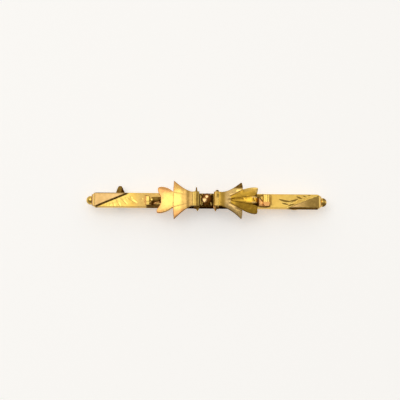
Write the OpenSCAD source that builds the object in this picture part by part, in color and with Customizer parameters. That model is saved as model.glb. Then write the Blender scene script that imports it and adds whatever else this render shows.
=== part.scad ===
// Bar brooch: a flat engraved gold bar with two leaf fans tied back to back at its middle,
// a small claw-set stone between them, rolled ribbon ends, corner plates and ball ends,
// and a plain pin with a C-shaped catch behind.
// X runs along the bar, Y across it and Z up through the decorated face.
// The origin lies under the middle of the bar, on the surface that the brooch lies on.

/* [Bar] */
// Length of the flat bar between its ball ends
bar_length = 47.7; // [44:0.1:60]
// Width of the bar
bar_width = 3; // [2.6:0.1:3.8]
// Thickness of the bar
bar_thick = 1.2; // [0.8:0.1:2]
// How far each cut corner runs along the bar
corner_run = 0.7; // [0.3:0.1:1]
// How far each cut corner runs across the bar
corner_drop = 0.5; // [0.2:0.05:0.7]
// Width and depth of the bevel along the bar's long edges
bar_bevel = 0.12; // [0.05:0.01:0.25]
// Length of the slope at each end of the decorated face
end_slope = 0.4; // [0.2:0.05:0.5]
// How far the face drops along that slope
end_drop = 0.6; // [0.3:0.05:0.7]

/* [Ball ends] */
// Diameter of each ball
ball_d = 1.86; // [1.2:0.02:2.4]
// How far each ball stands out past the bar's end
ball_reach = 1.15; // [0.8:0.05:1.6]
// Height of the round seat between ball and bar
ball_seat = 0.12; // [0.05:0.01:0.3]

/* [Corner plates] */
// Length of each three-cornered plate
plate_length = 6.9; // [4:0.1:9]
// Thickness of each plate
plate_thick = 0.26; // [0.15:0.01:0.5]
// Width of the bevel round each plate
plate_bevel = 0.12; // [0.05:0.01:0.2]
// Distance from the bar's end to the plate
plate_end_gap = 0.55; // [0.3:0.05:1.5]
// Distance from the bar's long edge to the plate
plate_side_gap = 0.08; // [0.04:0.01:0.3]
// Spacing of the grain notches along the slanted edge
notch_pitch = 0.37; // [0.3:0.01:0.8]
// Diameter of each grain notch
notch_d = 0.2; // [0.1:0.01:0.26]

/* [Engraving] */
// Length of the longest engraved stroke
stroke_length = 1.7; // [1:0.1:2.2]
// Depth of the longest stroke
stroke_depth = 0.1; // [0.04:0.01:0.2]
// Width of the longest stroke
stroke_width = 0.42; // [0.2:0.02:0.6]

/* [Fans] */
// Distance from the middle of the bar to the fan tips
fan_reach = 10.7; // [9.5:0.1:12]
// Distance from the middle of the bar to the inner end of each fan
fan_start = 1.5; // [1.45:0.05:1.7]
// Distance from the middle of the bar to where the neck begins to widen
neck_end = 3.1; // [2.8:0.1:3.6]
// Width of the neck of each fan
neck_width = 3; // [2.4:0.1:3.4]
// Height of the neck above the bar's face
neck_rise = 1.5; // [1.2:0.05:2]
// Height of the fan tips above the bar's face
tip_rise = 0.46; // [0.44:0.02:0.7]
// Thickness of the fan metal
sheet = 0.34; // [0.25:0.01:0.4]
// Distance from the middle to the spikes of the left fan
spike_at_left = 6.75; // [6:0.05:7.5]
// Distance from the middle to the spikes of the right fan
spike_at_right = 7.2; // [6.5:0.05:7.8]
// Width of the left fan over its spikes
spike_span_left = 8.2; // [6.5:0.1:10]
// Width of the right fan over its spikes
spike_span_right = 7.8; // [6.5:0.1:10]
// Width of each fan over its lobes or long petals
lobe_span = 5.6; // [4.6:0.1:6.4]
// Width of the left fan at the notch behind its spikes
waist_left = 3.34; // [3:0.02:4]
// Width of the right fan at the notch behind its spikes
waist_right = 4.3; // [3.6:0.1:4.5]
// How far the notch lies past the spikes
spike_back = 0.2; // [0.1:0.02:0.3]
// How much shorter the left fan is than the right one
fan_shorter = 0.55; // [0.4:0.05:1]
// Depth of the fish-tail notch between the lobes of the left fan
tail_notch = 0.75; // [0.3:0.05:1.2]
// Depth of the slits between the petals of the right fan
slit_depth = 1.1; // [0.6:0.05:1.5]
// Width of the cut lines between the petals
crease_width = 0.12; // [0.06:0.01:0.2]
// Depth of the cut lines between the petals
crease_depth = 0.09; // [0.04:0.01:0.15]
// Length and width of the block that carries each neck
riser_size = 1.6; // [1:0.1:2]

/* [Ribbon ends] */
// Distance from the middle of the bar to the left ribbon's roll
ribbon_reach_left = 12.85; // [12.7:0.05:14]
// Distance from the middle of the bar to the right ribbon's roll
ribbon_reach_right = 13.25; // [12.7:0.05:14]
// Width of each ribbon
ribbon_width = 2.3; // [1.6:0.1:2.5]
// Thickness of each ribbon
ribbon_thick = 0.2; // [0.15:0.01:0.24]
// Outer diameter of each roll
roll_d = 1.7; // [1.2:0.05:1.8]
// Length of ribbon that lies on the bar before the roll
ribbon_tail = 3.6; // [2:0.1:4]

/* [Collars] */
// Distance from the middle of the bar to each collar
collar_at = 2.15; // [2.1:0.05:2.3]
// Width of each collar along the bar
collar_width = 0.6; // [0.4:0.05:0.8]
// Thickness of the collar metal
collar_wall = 0.28; // [0.2:0.01:0.4]
// Width over the two points of a collar
point_span = 4.9; // [4.6:0.1:6]
// Diameter of a point where it leaves the collar
point_d = 1; // [0.7:0.05:1.2]

/* [Stone and setting] */
// Diameter of the stone
stone_d = 2.1; // [1.6:0.05:2.3]
// Height of the stone above its girdle
crown_height = 0.36; // [0.25:0.01:0.5]
// Depth of the stone below its girdle
pavilion_depth = 0.7; // [0.5:0.01:0.8]
// Thickness of the girdle
girdle = 0.07; // [0.04:0.01:0.12]
// Thickness of the square plate under the setting
base_thick = 0.22; // [0.15:0.01:0.4]
// Length of the square plate along the bar
base_length = 2.7; // [2.5:0.05:2.8]
// Diameter of each claw
claw_d = 0.34; // [0.25:0.01:0.4]
// Wall of the round collet under the stone
collet_wall = 0.3; // [0.2:0.01:0.4]

/* [Pin and catch] */
// Diameter of the pin
pin_d = 0.7; // [0.5:0.05:0.9]
// Clear space for cloth between the pin and the bar
cloth_gap = 1.1; // [0.8:0.05:2]
// Distance from the bar's end to the middle of the pin's hinge block
hinge_inset = 5.45; // [4:0.05:8]
// Length of the hinge block along the bar
hinge_length = 2.8; // [2:0.1:4]
// Width of the hinge block across the bar
hinge_width = 2.2; // [1.8:0.1:2.6]
// Distance from the bar's end to the middle of the catch
catch_inset = 5.9; // [4:0.05:8]
// Width of the catch metal under the bar
catch_width = 1.8; // [1.2:0.1:2.4]
// Thickness of the catch metal
catch_wall = 0.35; // [0.25:0.01:0.5]
// How far the closed end of the catch stands out past the bar's edge
catch_reach = 2.1; // [1.4:0.05:2.6]
// How far the pin's point passes the catch
point_past = 1.2; // [0.5:0.1:2]
// Length of the pin's tapered point
point_length = 2.6; // [1.5:0.1:4]

/* [Clearances] */
// Gap between two pieces that don't touch
fit = 0.03; // [0.02:0.005:0.05]
// Gap between the pin and the catch
pin_play = 0.08; // [0.04:0.01:0.15]

/* [Hidden] */
$fn = 48;
eps = 0.01;

// Heights of the bar's back, its face and the top of the necks
back_z = catch_wall + pin_play + pin_d + cloth_gap;
face_z = back_z + bar_thick;
neck_top_z = face_z + neck_rise + sheet / 2;

// Half sizes of the bar
half_length = bar_length / 2;
half_width = bar_width / 2;

// Places of the pin's hinge block and of the catch along the bar, and height of the pin's axis
hinge_at = half_length - hinge_inset;
catch_at = half_length - catch_inset;
pin_z = catch_wall + pin_play + pin_d / 2;

// Colours of the metals and the stone
yellow_gold = "#deba5c";
bright_gold = "#f0d060";
olive_gold = "#b28f30";
rose_gold = "#d9a878";
brown_stone = "#5a2c10";

// Steps in the curved profiles and outlines
profile_steps = 22;
curve_steps = 8;
roll_steps = 44;

// Point at share t of a quadratic curve from a to c, drawn towards b
function curve_point(a, b, c, t) = a * (1 - t) * (1 - t) + 2 * b * t * (1 - t) + c * t * t;
function curve(a, b, c) = [for (i = [0:curve_steps]) curve_point(a, b, c, i / curve_steps)];
function reversed(list) = [for (i = [len(list) - 1:-1:0]) list[i]];
function flipped(list) = [for (p = reversed(list)) [p.x, -p.y]];

// A prism across the bar whose side view is the outline of [x, z] points
module side_prism(points, width) {
    translate([0, width / 2, 0])
        rotate([90, 0, 0])
            linear_extrude(width) polygon(points);
}

// A prism along the bar whose end view is the outline of [y, z] points
module end_prism(points, length) {
    translate([-length / 2, 0, 0])
        rotate([90, 0, 90])
            linear_extrude(length) polygon(points);
}

// Engraved strokes: share of the half length, share of the half width, angle, share of the size
fern_strokes = [
    [-0.864, -0.86, 98, 0.45],
    [-0.836, -0.80, 104, 0.5],
    [-0.806, -0.72, 110, 0.6],
    [-0.766, -0.52, 122, 0.8],
    [-0.722, -0.30, 138, 0.9],
    [-0.646, -0.14, 155, 1],
    [-0.662, 0.47, 144, 0.6],
    [-0.745, 0.20, 130, 0.35],
    [-0.560, 0.13, 150, 0.3]
];
sprig_strokes = [
    [0.655, 0.18, -12, 0.8],
    [0.735, 0.14, 8, 0.9],
    [0.768, 0.45, -20, 0.6],
    [0.812, 0.56, -24, 0.7],
    [0.790, 0.78, -14, 0.5],
    [0.700, 0.44, -30, 0.4],
    [0.680, -0.28, -22, 0.6],
    [0.712, -0.50, 16, 0.5],
    [0.645, -0.20, -40, 0.3]
];

// A cut that is widest and deepest at its middle and runs out to a point at both ends
module engraved_stroke(row) {
    long = stroke_length / 2 * row[3];
    wide = stroke_width / 2 * row[3];
    deep = stroke_depth * row[3];
    translate([row[0] * half_length, row[1] * half_width, face_z])
        rotate([0, 0, row[2]])
            polyhedron(
                points = [[long, 0, 0], [0, wide, 0], [-long, 0, 0], [0, -wide, 0],
                    [0, 0, -deep], [0, 0, deep]],
                faces = [[0, 4, 1], [1, 4, 2], [2, 4, 3], [3, 4, 0],
                    [1, 5, 0], [2, 5, 1], [3, 5, 2], [0, 5, 3]]);
}

module bar() {
    plan = [
        [half_length, half_width - corner_drop],
        [half_length - corner_run, half_width],
        [-half_length + corner_run, half_width],
        [-half_length, half_width - corner_drop],
        [-half_length, -half_width + corner_drop],
        [-half_length + corner_run, -half_width],
        [half_length - corner_run, -half_width],
        [half_length, -half_width + corner_drop]
    ];
    end_view = [
        [-half_width, back_z],
        [half_width, back_z],
        [half_width, face_z - bar_bevel],
        [half_width - bar_bevel, face_z],
        [-half_width + bar_bevel, face_z],
        [-half_width, face_z - bar_bevel]
    ];
    side_view = [
        [-half_length, back_z],
        [half_length, back_z],
        [half_length, face_z - end_drop],
        [half_length - end_slope, face_z],
        [-half_length + end_slope, face_z],
        [-half_length, face_z - end_drop]
    ];
    color(yellow_gold)
        difference() {
            intersection() {
                translate([0, 0, back_z]) linear_extrude(bar_thick) polygon(plan);
                end_prism(end_view, bar_length);
                side_prism(side_view, bar_width);
            }
            for (row = concat(fern_strokes, sprig_strokes)) engraved_stroke(row);
        }
}

// A ball on a short round seat, cut flat where it meets the middle of the bar's end face
module ball_end() {
    ball_r = ball_d / 2;
    centre = ball_reach - ball_r;
    seat_r = ball_r * 0.82;
    first = asin((ball_seat - centre) / ball_r);
    arc = [for (i = [0:24]) let (a = first + (90 - first) * i / 24)
        [i == 24 ? 0 : ball_r * cos(a), centre + ball_r * sin(a)]];
    translate([half_length, 0, back_z + (bar_thick - end_drop) / 2])
        rotate([0, 90, 0])
            rotate_extrude() polygon(concat([[0, 0], [seat_r, 0], [seat_r, ball_seat]], arc));
}

module ball_end_left() {
    color(yellow_gold) mirror([1, 0, 0]) ball_end();
}

module ball_end_right() {
    color(yellow_gold) ball_end();
}

// A three-cornered plate with bevelled edges, soldered on the upper left corner of the bar
module corner_plate() {
    x0 = -half_length + plate_end_gap;
    y1 = half_width - plate_side_gap;
    long = plate_length;
    high = 2 * y1;
    slant = sqrt(long * long + high * high);
    inset = (long + high - slant) / 2;
    middle = [x0 + inset, y1 - inset];
    outer = [[x0, y1], [x0, -y1], [x0 + long, y1]];
    inner = [for (p = outer) middle + (p - middle) * (1 - plate_bevel / inset)];
    slope = atan2(high, long);
    notches = floor(slant / notch_pitch) - 3;
    bevel_z = face_z + plate_thick - plate_bevel;
    difference() {
        union() {
            translate([0, 0, face_z]) linear_extrude(bevel_z - face_z) polygon(outer);
            polyhedron(
                points = concat([for (p = outer) [p.x, p.y, bevel_z]],
                    [for (p = inner) [p.x, p.y, bevel_z + plate_bevel]]),
                faces = [[0, 1, 2], [5, 4, 3], [3, 4, 1, 0], [4, 5, 2, 1], [5, 3, 0, 2]]);
        }
        translate([x0, -y1, face_z + plate_thick / 3])
            rotate([0, 0, slope])
                for (i = [1:notches])
                    translate([slant / 2 + (i - (notches + 1) / 2) * notch_pitch, 0, 0])
                        cylinder(h = plate_thick, d = notch_d, $fn = 16);
    }
}

module corner_plate_left() {
    color(rose_gold) corner_plate();
}

module corner_plate_right() {
    color(rose_gold) rotate([0, 0, 180]) corner_plate();
}

// Height of the middle of the fan metal above the bar's face at distance u from the middle.
// The bulge keeps the sheet a little fuller than a plain square law does.
bulge = 0.23;
function fall(t) = (1 - t) * (1 - t) * (1 + bulge * t);
function rise(u) = u < neck_end ? neck_rise
    : tip_rise + (neck_rise - tip_rise) * fall((u - neck_end) / (fan_reach - neck_end));
function fan_steps() = [for (i = [0:profile_steps])
    fan_start + (fan_reach - fan_start) * i / profile_steps];

// Everything above a surface that lies a given distance over the middle of the fan metal
module above_fan(offset) {
    sky = neck_top_z + 1;
    top = [for (u = fan_steps()) [u, face_z + rise(u) + offset]];
    side_prism(concat(top, [[fan_reach, sky], [fan_start, sky]]), spike_span_left + spike_span_right);
}

// A curved sheet with the given plan, cut lines given as pairs of points, and its block below
module fan(plan, creases) {
    height = neck_top_z + 1 - back_z;
    difference() {
        union() {
            difference() {
                intersection() {
                    translate([0, 0, back_z]) linear_extrude(height) polygon(plan);
                    above_fan(-sheet / 2);
                }
                above_fan(sheet / 2);
            }
            riser_length = neck_end - fan_start;
            translate([fan_start, -riser_size / 2, face_z])
                cube([riser_length, riser_size, neck_rise]);
        }
        intersection() {
            above_fan(sheet / 2 - crease_depth);
            translate([0, 0, back_z])
                linear_extrude(height)
                    for (line = creases) crease_strip(line[0], line[1]);
        }
    }
}

module crease_strip(a, b) {
    run = b - a;
    translate(a)
        rotate(atan2(run.y, run.x))
            translate([0, -crease_width / 2]) square([norm(run), crease_width]);
}

// Outline of half the neck with its spike, from the inner end outwards
flare = 0.3;
tip_width = [0.06, 0.05];
function spike_side(at, span, waist) = concat(
    [[fan_start, neck_width / 2]],
    curve([neck_end, neck_width / 2], [(neck_end + at) / 2 - flare, neck_width / 2 + flare],
        [at, span / 2]),
    [[at + tip_width.x, span / 2 - tip_width.y], [at + spike_back, waist / 2]]);

// Left fan: two spikes and a fish tail, with the lower lobe a little longer than the upper
module fan_left() {
    lean = 0.15;
    foot = spike_at_left + spike_back;
    full = fan_reach - fan_shorter;
    half_span = lobe_span / 2;
    shoulder = [0.5, 0.35];
    swell = 1.6;
    corner = 0.3;
    nip = 0.08;
    function lobe(tip) = concat(
        curve([foot + shoulder.x, waist_left / 2 + shoulder.y], [foot + swell, half_span + nip / 2],
            [tip - corner, half_span]),
        [[tip - nip, half_span - nip], [tip, half_span - corner]]);
    half_notch = half_span * 0.44;
    spike = spike_side(spike_at_left, spike_span_left, waist_left);
    plan = concat(spike, lobe(full - lean),
        [[full - tail_notch * 0.45, half_notch], [full - tail_notch + 0.1, 0]],
        [[full - tail_notch * 0.25, -half_notch]],
        flipped(concat(spike, lobe(full + lean))));
    edge = waist_left / 2 - crease_width;
    fold = foot - 0.25;
    fold_run = 2.4;
    creases = [
        [[fold, -edge - crease_width / 2], [fold, edge + crease_width / 2]],
        [[fold, edge], [fold - fold_run, edge - 0.55]],
        [[fold, -edge], [fold - fold_run, -edge + 0.65]]
    ];
    color(bright_gold) mirror([1, 0, 0]) fan(plan, creases);
}

// Right fan: two spikes, two long petals with slanted ends and a narrow petal between them
module fan_right() {
    foot = spike_at_right + spike_back;
    half_span = lobe_span / 2;
    slit_y = half_span * 0.34;
    slit_end = fan_reach - slit_depth;
    root = [neck_end + 2, 0];
    shoulder = [0.2, 0.15];
    swell = 1.4;
    corner = 0.5;
    nip = 0.08;
    function petal(slant) = concat(
        curve([foot + shoulder.x, waist_right / 2 + shoulder.y], [foot + swell, half_span + nip / 2],
            [fan_reach - corner, half_span]),
        [[fan_reach - nip / 2, half_span - nip],
            [fan_reach - slant, half_span * 0.4],
            [slit_end, slit_y],
            [slit_end + slit_depth * 0.7, half_span * 0.2]]);
    spike = spike_side(spike_at_right, spike_span_right, waist_right);
    plan = concat(spike, petal(0.7), flipped(concat(spike, petal(0.15))));
    creases = [for (side = [-1, 1]) each [
        [root + [0, side * 0.7], [foot, side * waist_right / 2]],
        [root + [0.1, side * 0.25], [slit_end, side * slit_y]]]];
    color(olive_gold) fan(plan, creases);
}

// A ribbon that lies on the bar and rolls up at its end, drawn towards +X
module ribbon_end(reach) {
    roll_r = roll_d / 2;
    centre = [reach - roll_r, face_z + roll_r];
    turn = 410;
    pitch = ribbon_thick + 2 * fit;
    function on_roll(i, radius) = let (a = -90 + turn * i / roll_steps)
        centre + (radius - pitch * i * turn / roll_steps / 360) * [cos(a), sin(a)];
    outer = [for (i = [0:roll_steps]) on_roll(i, roll_r)];
    inner = [for (i = [roll_steps:-1:0]) on_roll(i, roll_r - ribbon_thick)];
    tail = centre.x - ribbon_tail;
    side_view = concat([[tail, face_z]], outer, inner, [[tail, face_z + ribbon_thick]]);
    half = ribbon_width / 2;
    round_end = roll_r * 0.9;
    tail_half = half * 0.6;
    plan = concat(
        [[tail, tail_half], [centre.x - roll_d, tail_half], [centre.x - roll_r, half], [reach, half]],
        curve([reach, -half + round_end], [reach, -half], [reach - round_end, -half]),
        [[centre.x - roll_r, -half], [centre.x - roll_d, -tail_half], [tail, -tail_half]]);
    intersection() {
        side_prism(side_view, ribbon_width);
        translate([0, 0, face_z]) linear_extrude(roll_d + eps) polygon(plan);
    }
}

module ribbon_end_left() {
    color(yellow_gold) mirror([1, 0, 0]) ribbon_end(ribbon_reach_left);
}

module ribbon_end_right() {
    color(yellow_gold) ribbon_end(ribbon_reach_right);
}

// A closed strap round bar and neck, with a thorn-like point on each side
module collar() {
    inner_y = max(bar_width, neck_width) / 2 + fit;
    outer_y = inner_y + collar_wall;
    low = back_z - fit;
    high = neck_top_z + fit;
    point_z = face_z + neck_rise / 2;
    shank = point_span / 2 - outer_y;
    root = point_d / 2;
    translate([collar_at, 0, 0]) {
        difference() {
            translate([-collar_width / 2, -outer_y, low - collar_wall])
                cube([collar_width, 2 * outer_y, high - low + 2 * collar_wall]);
            translate([-collar_width, -inner_y, low])
                cube([2 * collar_width, 2 * inner_y, high - low]);
        }
        for (side = [-1, 1])
            translate([0, side * (inner_y + fit), point_z])
                rotate([-90 * side, 0, 0])
                    rotate_extrude()
                        polygon([[0, 0], [root, 0], [root, collar_wall / 2],
                            [root * 0.6, collar_wall + shank * 0.35], [root * 0.2, collar_wall + shank],
                            [0, collar_wall + shank]]);
    }
}

module collar_left() {
    color(olive_gold) mirror([1, 0, 0]) collar();
}

module collar_right() {
    color(olive_gold) collar();
}

// Heights and radii that the stone and its setting share
stone_r = stone_d / 2;
collet_bore_r = stone_r * 0.78;
seat_drop = pavilion_depth * (1 - collet_bore_r / stone_r);
girdle_z = face_z + base_thick + pavilion_depth + fit;
collet_top_z = girdle_z - seat_drop - fit;
claw_at = stone_r + claw_d / 2 + fit;

// A square plate, a round collet and four claws bent over the stone, soldered into one
module setting() {
    claw_tip_r = claw_d * 0.6;
    crown_run = stone_r * 0.42;
    lean = atan2(crown_height, crown_run);
    tip_at = claw_at - claw_d * 0.25;
    tip_lift = (claw_tip_r + fit - (tip_at - stone_r) * sin(lean)) / cos(lean);
    tip_z = girdle_z + girdle + tip_lift;
    color(olive_gold) {
        difference() {
            union() {
                translate([-base_length / 2, -half_width + bar_bevel, face_z])
                    cube([base_length, bar_width - 2 * bar_bevel, base_thick]);
                translate([0, 0, face_z])
                    cylinder(h = collet_top_z - face_z, r = collet_bore_r + collet_wall);
            }
            translate([0, 0, face_z + base_thick])
                cylinder(h = neck_rise + pavilion_depth, r = collet_bore_r);
        }
        for (a = [45:90:315])
            rotate([0, 0, a]) {
                translate([claw_at, 0, face_z]) cylinder(h = tip_z - face_z, d = claw_d, $fn = 24);
                translate([tip_at, 0, tip_z]) sphere(claw_tip_r, $fn = 24);
            }
    }
}

// A round cut stone: eight-sided table, ring of crown corners, girdle and pavilion
module stone() {
    layer = 0.001;
    module ring(radius, sides, z, turn) {
        translate([0, 0, z])
            rotate([0, 0, turn]) linear_extrude(layer) circle(radius, $fn = sides);
    }
    color(brown_stone)
        hull() {
            ring(stone_r * 0.56, 8, girdle_z + girdle + crown_height - layer, 22.5);
            ring(stone_r * 0.83, 8, girdle_z + girdle + crown_height * 0.5, 0);
            ring(stone_r, 16, girdle_z + girdle - layer, 11.25);
            ring(stone_r, 16, girdle_z, 11.25);
            ring(stone_r * 0.12, 8, girdle_z - pavilion_depth + fit, 22.5);
        }
}

// A strap bent into a C that is closed beyond the bar's upper edge and open towards the lower
module catch() {
    bend_r = back_z / 2;
    bend_y = half_width + catch_reach - bend_r;
    leg_end = -half_width * 0.6;
    tongue = catch_width * 0.46;
    side_arc = [for (i = [0:16]) let (a = 180 * i / 16)
        [tongue * cos(a), half_width + catch_reach * sin(a)]];
    plan = concat([[catch_width / 2, leg_end], [catch_width / 2, half_width * 0.9]], side_arc,
        [[-catch_width / 2, half_width * 0.9], [-catch_width / 2, leg_end]]);
    color(yellow_gold)
        translate([-catch_at, 0, 0])
            intersection() {
                rotate([90, 0, 90])
                    translate([0, 0, -catch_width / 2])
                        linear_extrude(catch_width)
                            difference() {
                                union() {
                                    translate([leg_end, 0]) square([bend_y - leg_end, back_z]);
                                    translate([bend_y, bend_r]) circle(bend_r, $fn = 64);
                                }
                                translate([leg_end - 1, catch_wall])
                                    square([bend_y - leg_end + 1, back_z - 2 * catch_wall]);
                                translate([bend_y, bend_r]) circle(bend_r - catch_wall, $fn = 64);
                            }
                linear_extrude(back_z) polygon(plan);
            }
}

// The pin and its hinge block in one plain piece
module pin() {
    tip_x = -catch_at - catch_width / 2 - point_past;
    barrel_d = pin_z * 2;
    foot = 0.3;
    color(yellow_gold) {
        translate([hinge_at - hinge_length / 2, -hinge_width / 2, back_z - foot])
            cube([hinge_length, hinge_width, foot]);
        translate([hinge_at - barrel_d / 2, -hinge_width / 2, pin_z])
            cube([barrel_d, hinge_width, back_z - pin_z]);
        translate([hinge_at, -hinge_width / 2, pin_z])
            rotate([-90, 0, 0]) cylinder(h = hinge_width, d = barrel_d);
        translate([tip_x + point_length, 0, pin_z])
            rotate([0, 90, 0]) cylinder(h = hinge_at - tip_x - point_length, d = pin_d);
        translate([tip_x, 0, pin_z])
            rotate([0, 90, 0]) cylinder(h = point_length, d1 = pin_d * 0.16, d2 = pin_d);
    }
}

bar();
ball_end_left();
ball_end_right();
corner_plate_left();
corner_plate_right();
fan_left();
fan_right();
ribbon_end_left();
ribbon_end_right();
collar_left();
collar_right();
setting();
stone();
catch();
pin();
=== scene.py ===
import math
from collections import namedtuple

import bmesh
import bpy
import numpy as np
from bpy.props import FloatProperty, FloatVectorProperty, PointerProperty
from mathutils import Matrix, Vector
from mathutils.geometry import delaunay_2d_cdt


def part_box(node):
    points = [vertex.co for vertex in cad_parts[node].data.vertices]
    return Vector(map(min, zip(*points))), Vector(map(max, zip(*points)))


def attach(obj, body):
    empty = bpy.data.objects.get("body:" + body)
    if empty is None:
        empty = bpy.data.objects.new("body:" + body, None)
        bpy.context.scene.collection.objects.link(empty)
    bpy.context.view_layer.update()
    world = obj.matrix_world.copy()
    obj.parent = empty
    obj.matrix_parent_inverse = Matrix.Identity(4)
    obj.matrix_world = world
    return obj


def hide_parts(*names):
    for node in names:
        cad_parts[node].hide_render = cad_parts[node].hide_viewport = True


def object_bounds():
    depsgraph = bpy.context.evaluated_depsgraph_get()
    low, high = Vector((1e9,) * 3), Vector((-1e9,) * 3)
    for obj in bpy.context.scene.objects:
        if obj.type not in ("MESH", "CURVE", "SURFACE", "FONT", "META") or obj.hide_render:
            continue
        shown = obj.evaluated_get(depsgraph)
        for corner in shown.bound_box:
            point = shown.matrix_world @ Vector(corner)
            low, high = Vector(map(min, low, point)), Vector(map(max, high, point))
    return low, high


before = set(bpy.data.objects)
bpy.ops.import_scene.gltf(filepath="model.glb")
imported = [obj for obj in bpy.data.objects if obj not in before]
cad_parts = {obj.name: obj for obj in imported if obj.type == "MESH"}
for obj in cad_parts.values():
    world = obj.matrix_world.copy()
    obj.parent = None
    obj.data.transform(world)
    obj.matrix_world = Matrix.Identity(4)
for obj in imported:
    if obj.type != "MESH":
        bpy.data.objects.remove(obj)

bl_info = {
    "name": "Bar Brooch",
    "version": (1, 0, 0),
    "blender": (4, 5, 0),
    "location": "View3D > Sidebar > Brooch",
    "description": "An engraved gold bar brooch with leaf fans, ribbon ends and a small stone",
    "category": "Add Mesh",
}

# All shapes are worked out in millimetres and scaled once, when a mesh is made
MM = 0.001
CAD_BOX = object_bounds()


def corners(node):
    """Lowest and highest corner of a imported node, in millimetres."""
    low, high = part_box(node)
    return np.array(low) / MM, np.array(high) / MM


BAR_LOW, BAR_HIGH = corners("bar")
HALF_LENGTH, HALF_WIDTH, FACE = BAR_HIGH
BACK = BAR_LOW[2]


def linear(hex_colour):
    """An sRGB hex colour as linear red, green and blue."""
    shares = [int(hex_colour[i:i + 2], 16) / 255 for i in (1, 3, 5)]
    return tuple(s / 12.92 if s <= 0.04045 else ((s + 0.055) / 1.055) ** 2.4 for s in shares)


def length(name, description, millimetres):
    """A setting that is a length."""
    return FloatProperty(name=name, description=description, default=millimetres * MM,
                         min=0.0, max=10 * MM, unit="LENGTH", precision=6)


def colour(name, description, hex_colour):
    """A setting that is a colour."""
    return FloatVectorProperty(name=name, description=description, default=linear(hex_colour),
                               size=3, min=0.0, max=1.0, subtype="COLOR")


class BroochSizes(bpy.types.PropertyGroup):
    edge_round: length("Edge rounding", "Radius of the worn edges of the gold sheet", 0.08)
    grain_d: length("Grain", "Diameter of each grain of the milled edges", 0.34)
    grain_pitch: length("Grain spacing", "Distance between two grains of the milled edges", 0.31)
    stroke_length: length("Stroke length", "Length of the longest engraved stroke", 2.0)
    stroke_width: length("Stroke width", "Width of the longest engraved stroke", 0.52)
    stroke_depth: length("Stroke depth", "Depth of the longest engraved stroke", 0.068)
    sheet: length("Sheet", "Thickness of the sheet that the fans are cut from", 0.34)
    side_droop: length("Side droop", "How far the tips of the spikes hang below the middle", 0.3)
    spike_droop: length("Spike droop", "Further droop of the spikes for each millimetre", 0.13)
    petal_crown: length("Petal crown", "How far each petal swells between its cut lines", 0.13)
    crease_width: length("Cut line width", "Width of the cut lines of the fans", 0.14)
    crease_depth: length("Cut line depth", "Depth of the cut lines of the fans", 0.1)
    ribbon_thick: length("Ribbon", "Thickness of the rolled ribbons", 0.2)
    claw_d: length("Claw", "Diameter of each claw of the setting", 0.34)
    pin_point: length("Pin point", "Length of the tapered point of the pin", 2.6)


class BroochColours(bpy.types.PropertyGroup):
    yellow: colour("Yellow gold", "Gold of the bar, balls, ribbons and pin", "#f6cd68")
    # bright is a lit copy of the gold, for the left fan's painted brightness and for painted
    # highlights
    bright: colour("Bright gold", "Burnished gold of the left fan and of rubbed places", "#ffdc78")
    # deep is a shaded copy of the gold, painted darker for the right fan
    deep: colour("Deep gold", "Quieter gold of the right fan", "#f3c044")
    # blush also paints pink highlights on the ribbons and the right collar
    blush: colour("Blush", "Coppery tint of the left fan, the ribbons and the collars", "#f5b46a")
    # pale also paints highlights on the right fan's upper rim, lips and spike back
    pale: colour("Pale gold", "Paler gold on the spikes and rims of the right fan", "#ffd68c")
    rose: colour("Rose gold", "Gold of the corner plates, and tint of the bar's ends", "#e6bd80")
    # soil also stands for painted shade in cuts, gaps, corners and under the fans, collars and
    # ribbons
    soil: colour("Soil", "Old polish and dirt in cuts and corners", "#552f03")
    stone: colour("Stone", "Body of the small brown stone", "#4f2b05")
    # amber also paints a warm glow round one of the stone's painted highlights
    amber: colour("Stone, warm facets", "The facets that pass a little light", "#a8692a")
    # stone_light is a painted highlight that glows on two of the stone's facets
    stone_light: colour("Stone, lit facets", "The facets that show the gold behind", "#ffd08e")
    floor: colour("Floor", "The floor that the brooch lies on", "#f7f5f1")


def mm(name):
    """A size setting, in millimetres."""
    return getattr(bpy.context.scene.brooch_sizes, name) / MM


# Outlines, curves and distances

def curve(a, b, c, steps=12):
    """Points of a quadratic curve from a to c, drawn towards b."""
    a, b, c = map(np.array, (a, b, c))
    return [a * (1 - t) ** 2 + 2 * b * t * (1 - t) + c * t * t for t in np.linspace(0, 1, steps)]


def through(knots, x):
    """A smooth height at x through a table of (place, height) knots."""
    at, value = np.array(knots, float).T
    slope = np.gradient(value, at)
    i = np.clip(np.searchsorted(at, x) - 1, 0, len(at) - 2)
    run = at[i + 1] - at[i]
    t = np.clip((x - at[i]) / run, 0, 1)
    return ((1 + 2 * t) * (1 - t) ** 2 * value[i] + t * (1 - t) ** 2 * run * slope[i]
            + t * t * (3 - 2 * t) * value[i + 1] + t * t * (t - 1) * run * slope[i + 1])


def ease(low, high, x):
    """A smooth step from 0 at low to 1 at high."""
    t = np.clip((x - low) / (high - low), 0, 1)
    return t * t * (3 - 2 * t)


def between(start, full, fading, end, x):
    """A smooth hill: 0 up to start, 1 from full to fading and 0 again from end."""
    return ease(start, full, x) * ease(end, fading, x)


def around(place, width, x):
    """A bell whose top, 1, is at a place, with a third of it left at that width from there."""
    return np.exp(-((x - place) / width) ** 2)


def distance(points, starts, ends):
    """Distance from each point to the nearest of the given segments."""
    run = ends - starts
    ahead = points[:, None, :] - starts[None, :, :]
    share = np.clip((ahead * run).sum(-1) / (run ** 2).sum(-1), 0, 1)
    return np.linalg.norm(ahead - share[..., None] * run, axis=-1).min(axis=1)


def inside(points, outline):
    """Which points lie inside a closed outline."""
    x, y = points.T
    hit = np.zeros(len(points), bool)
    for (ax, ay), (bx, by) in zip(outline, np.roll(outline, -1, axis=0)):
        if ay != by:
            hit ^= ((ay > y) != (by > y)) & (x < (bx - ax) * (y - ay) / (by - ay) + ax)
    return hit


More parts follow.
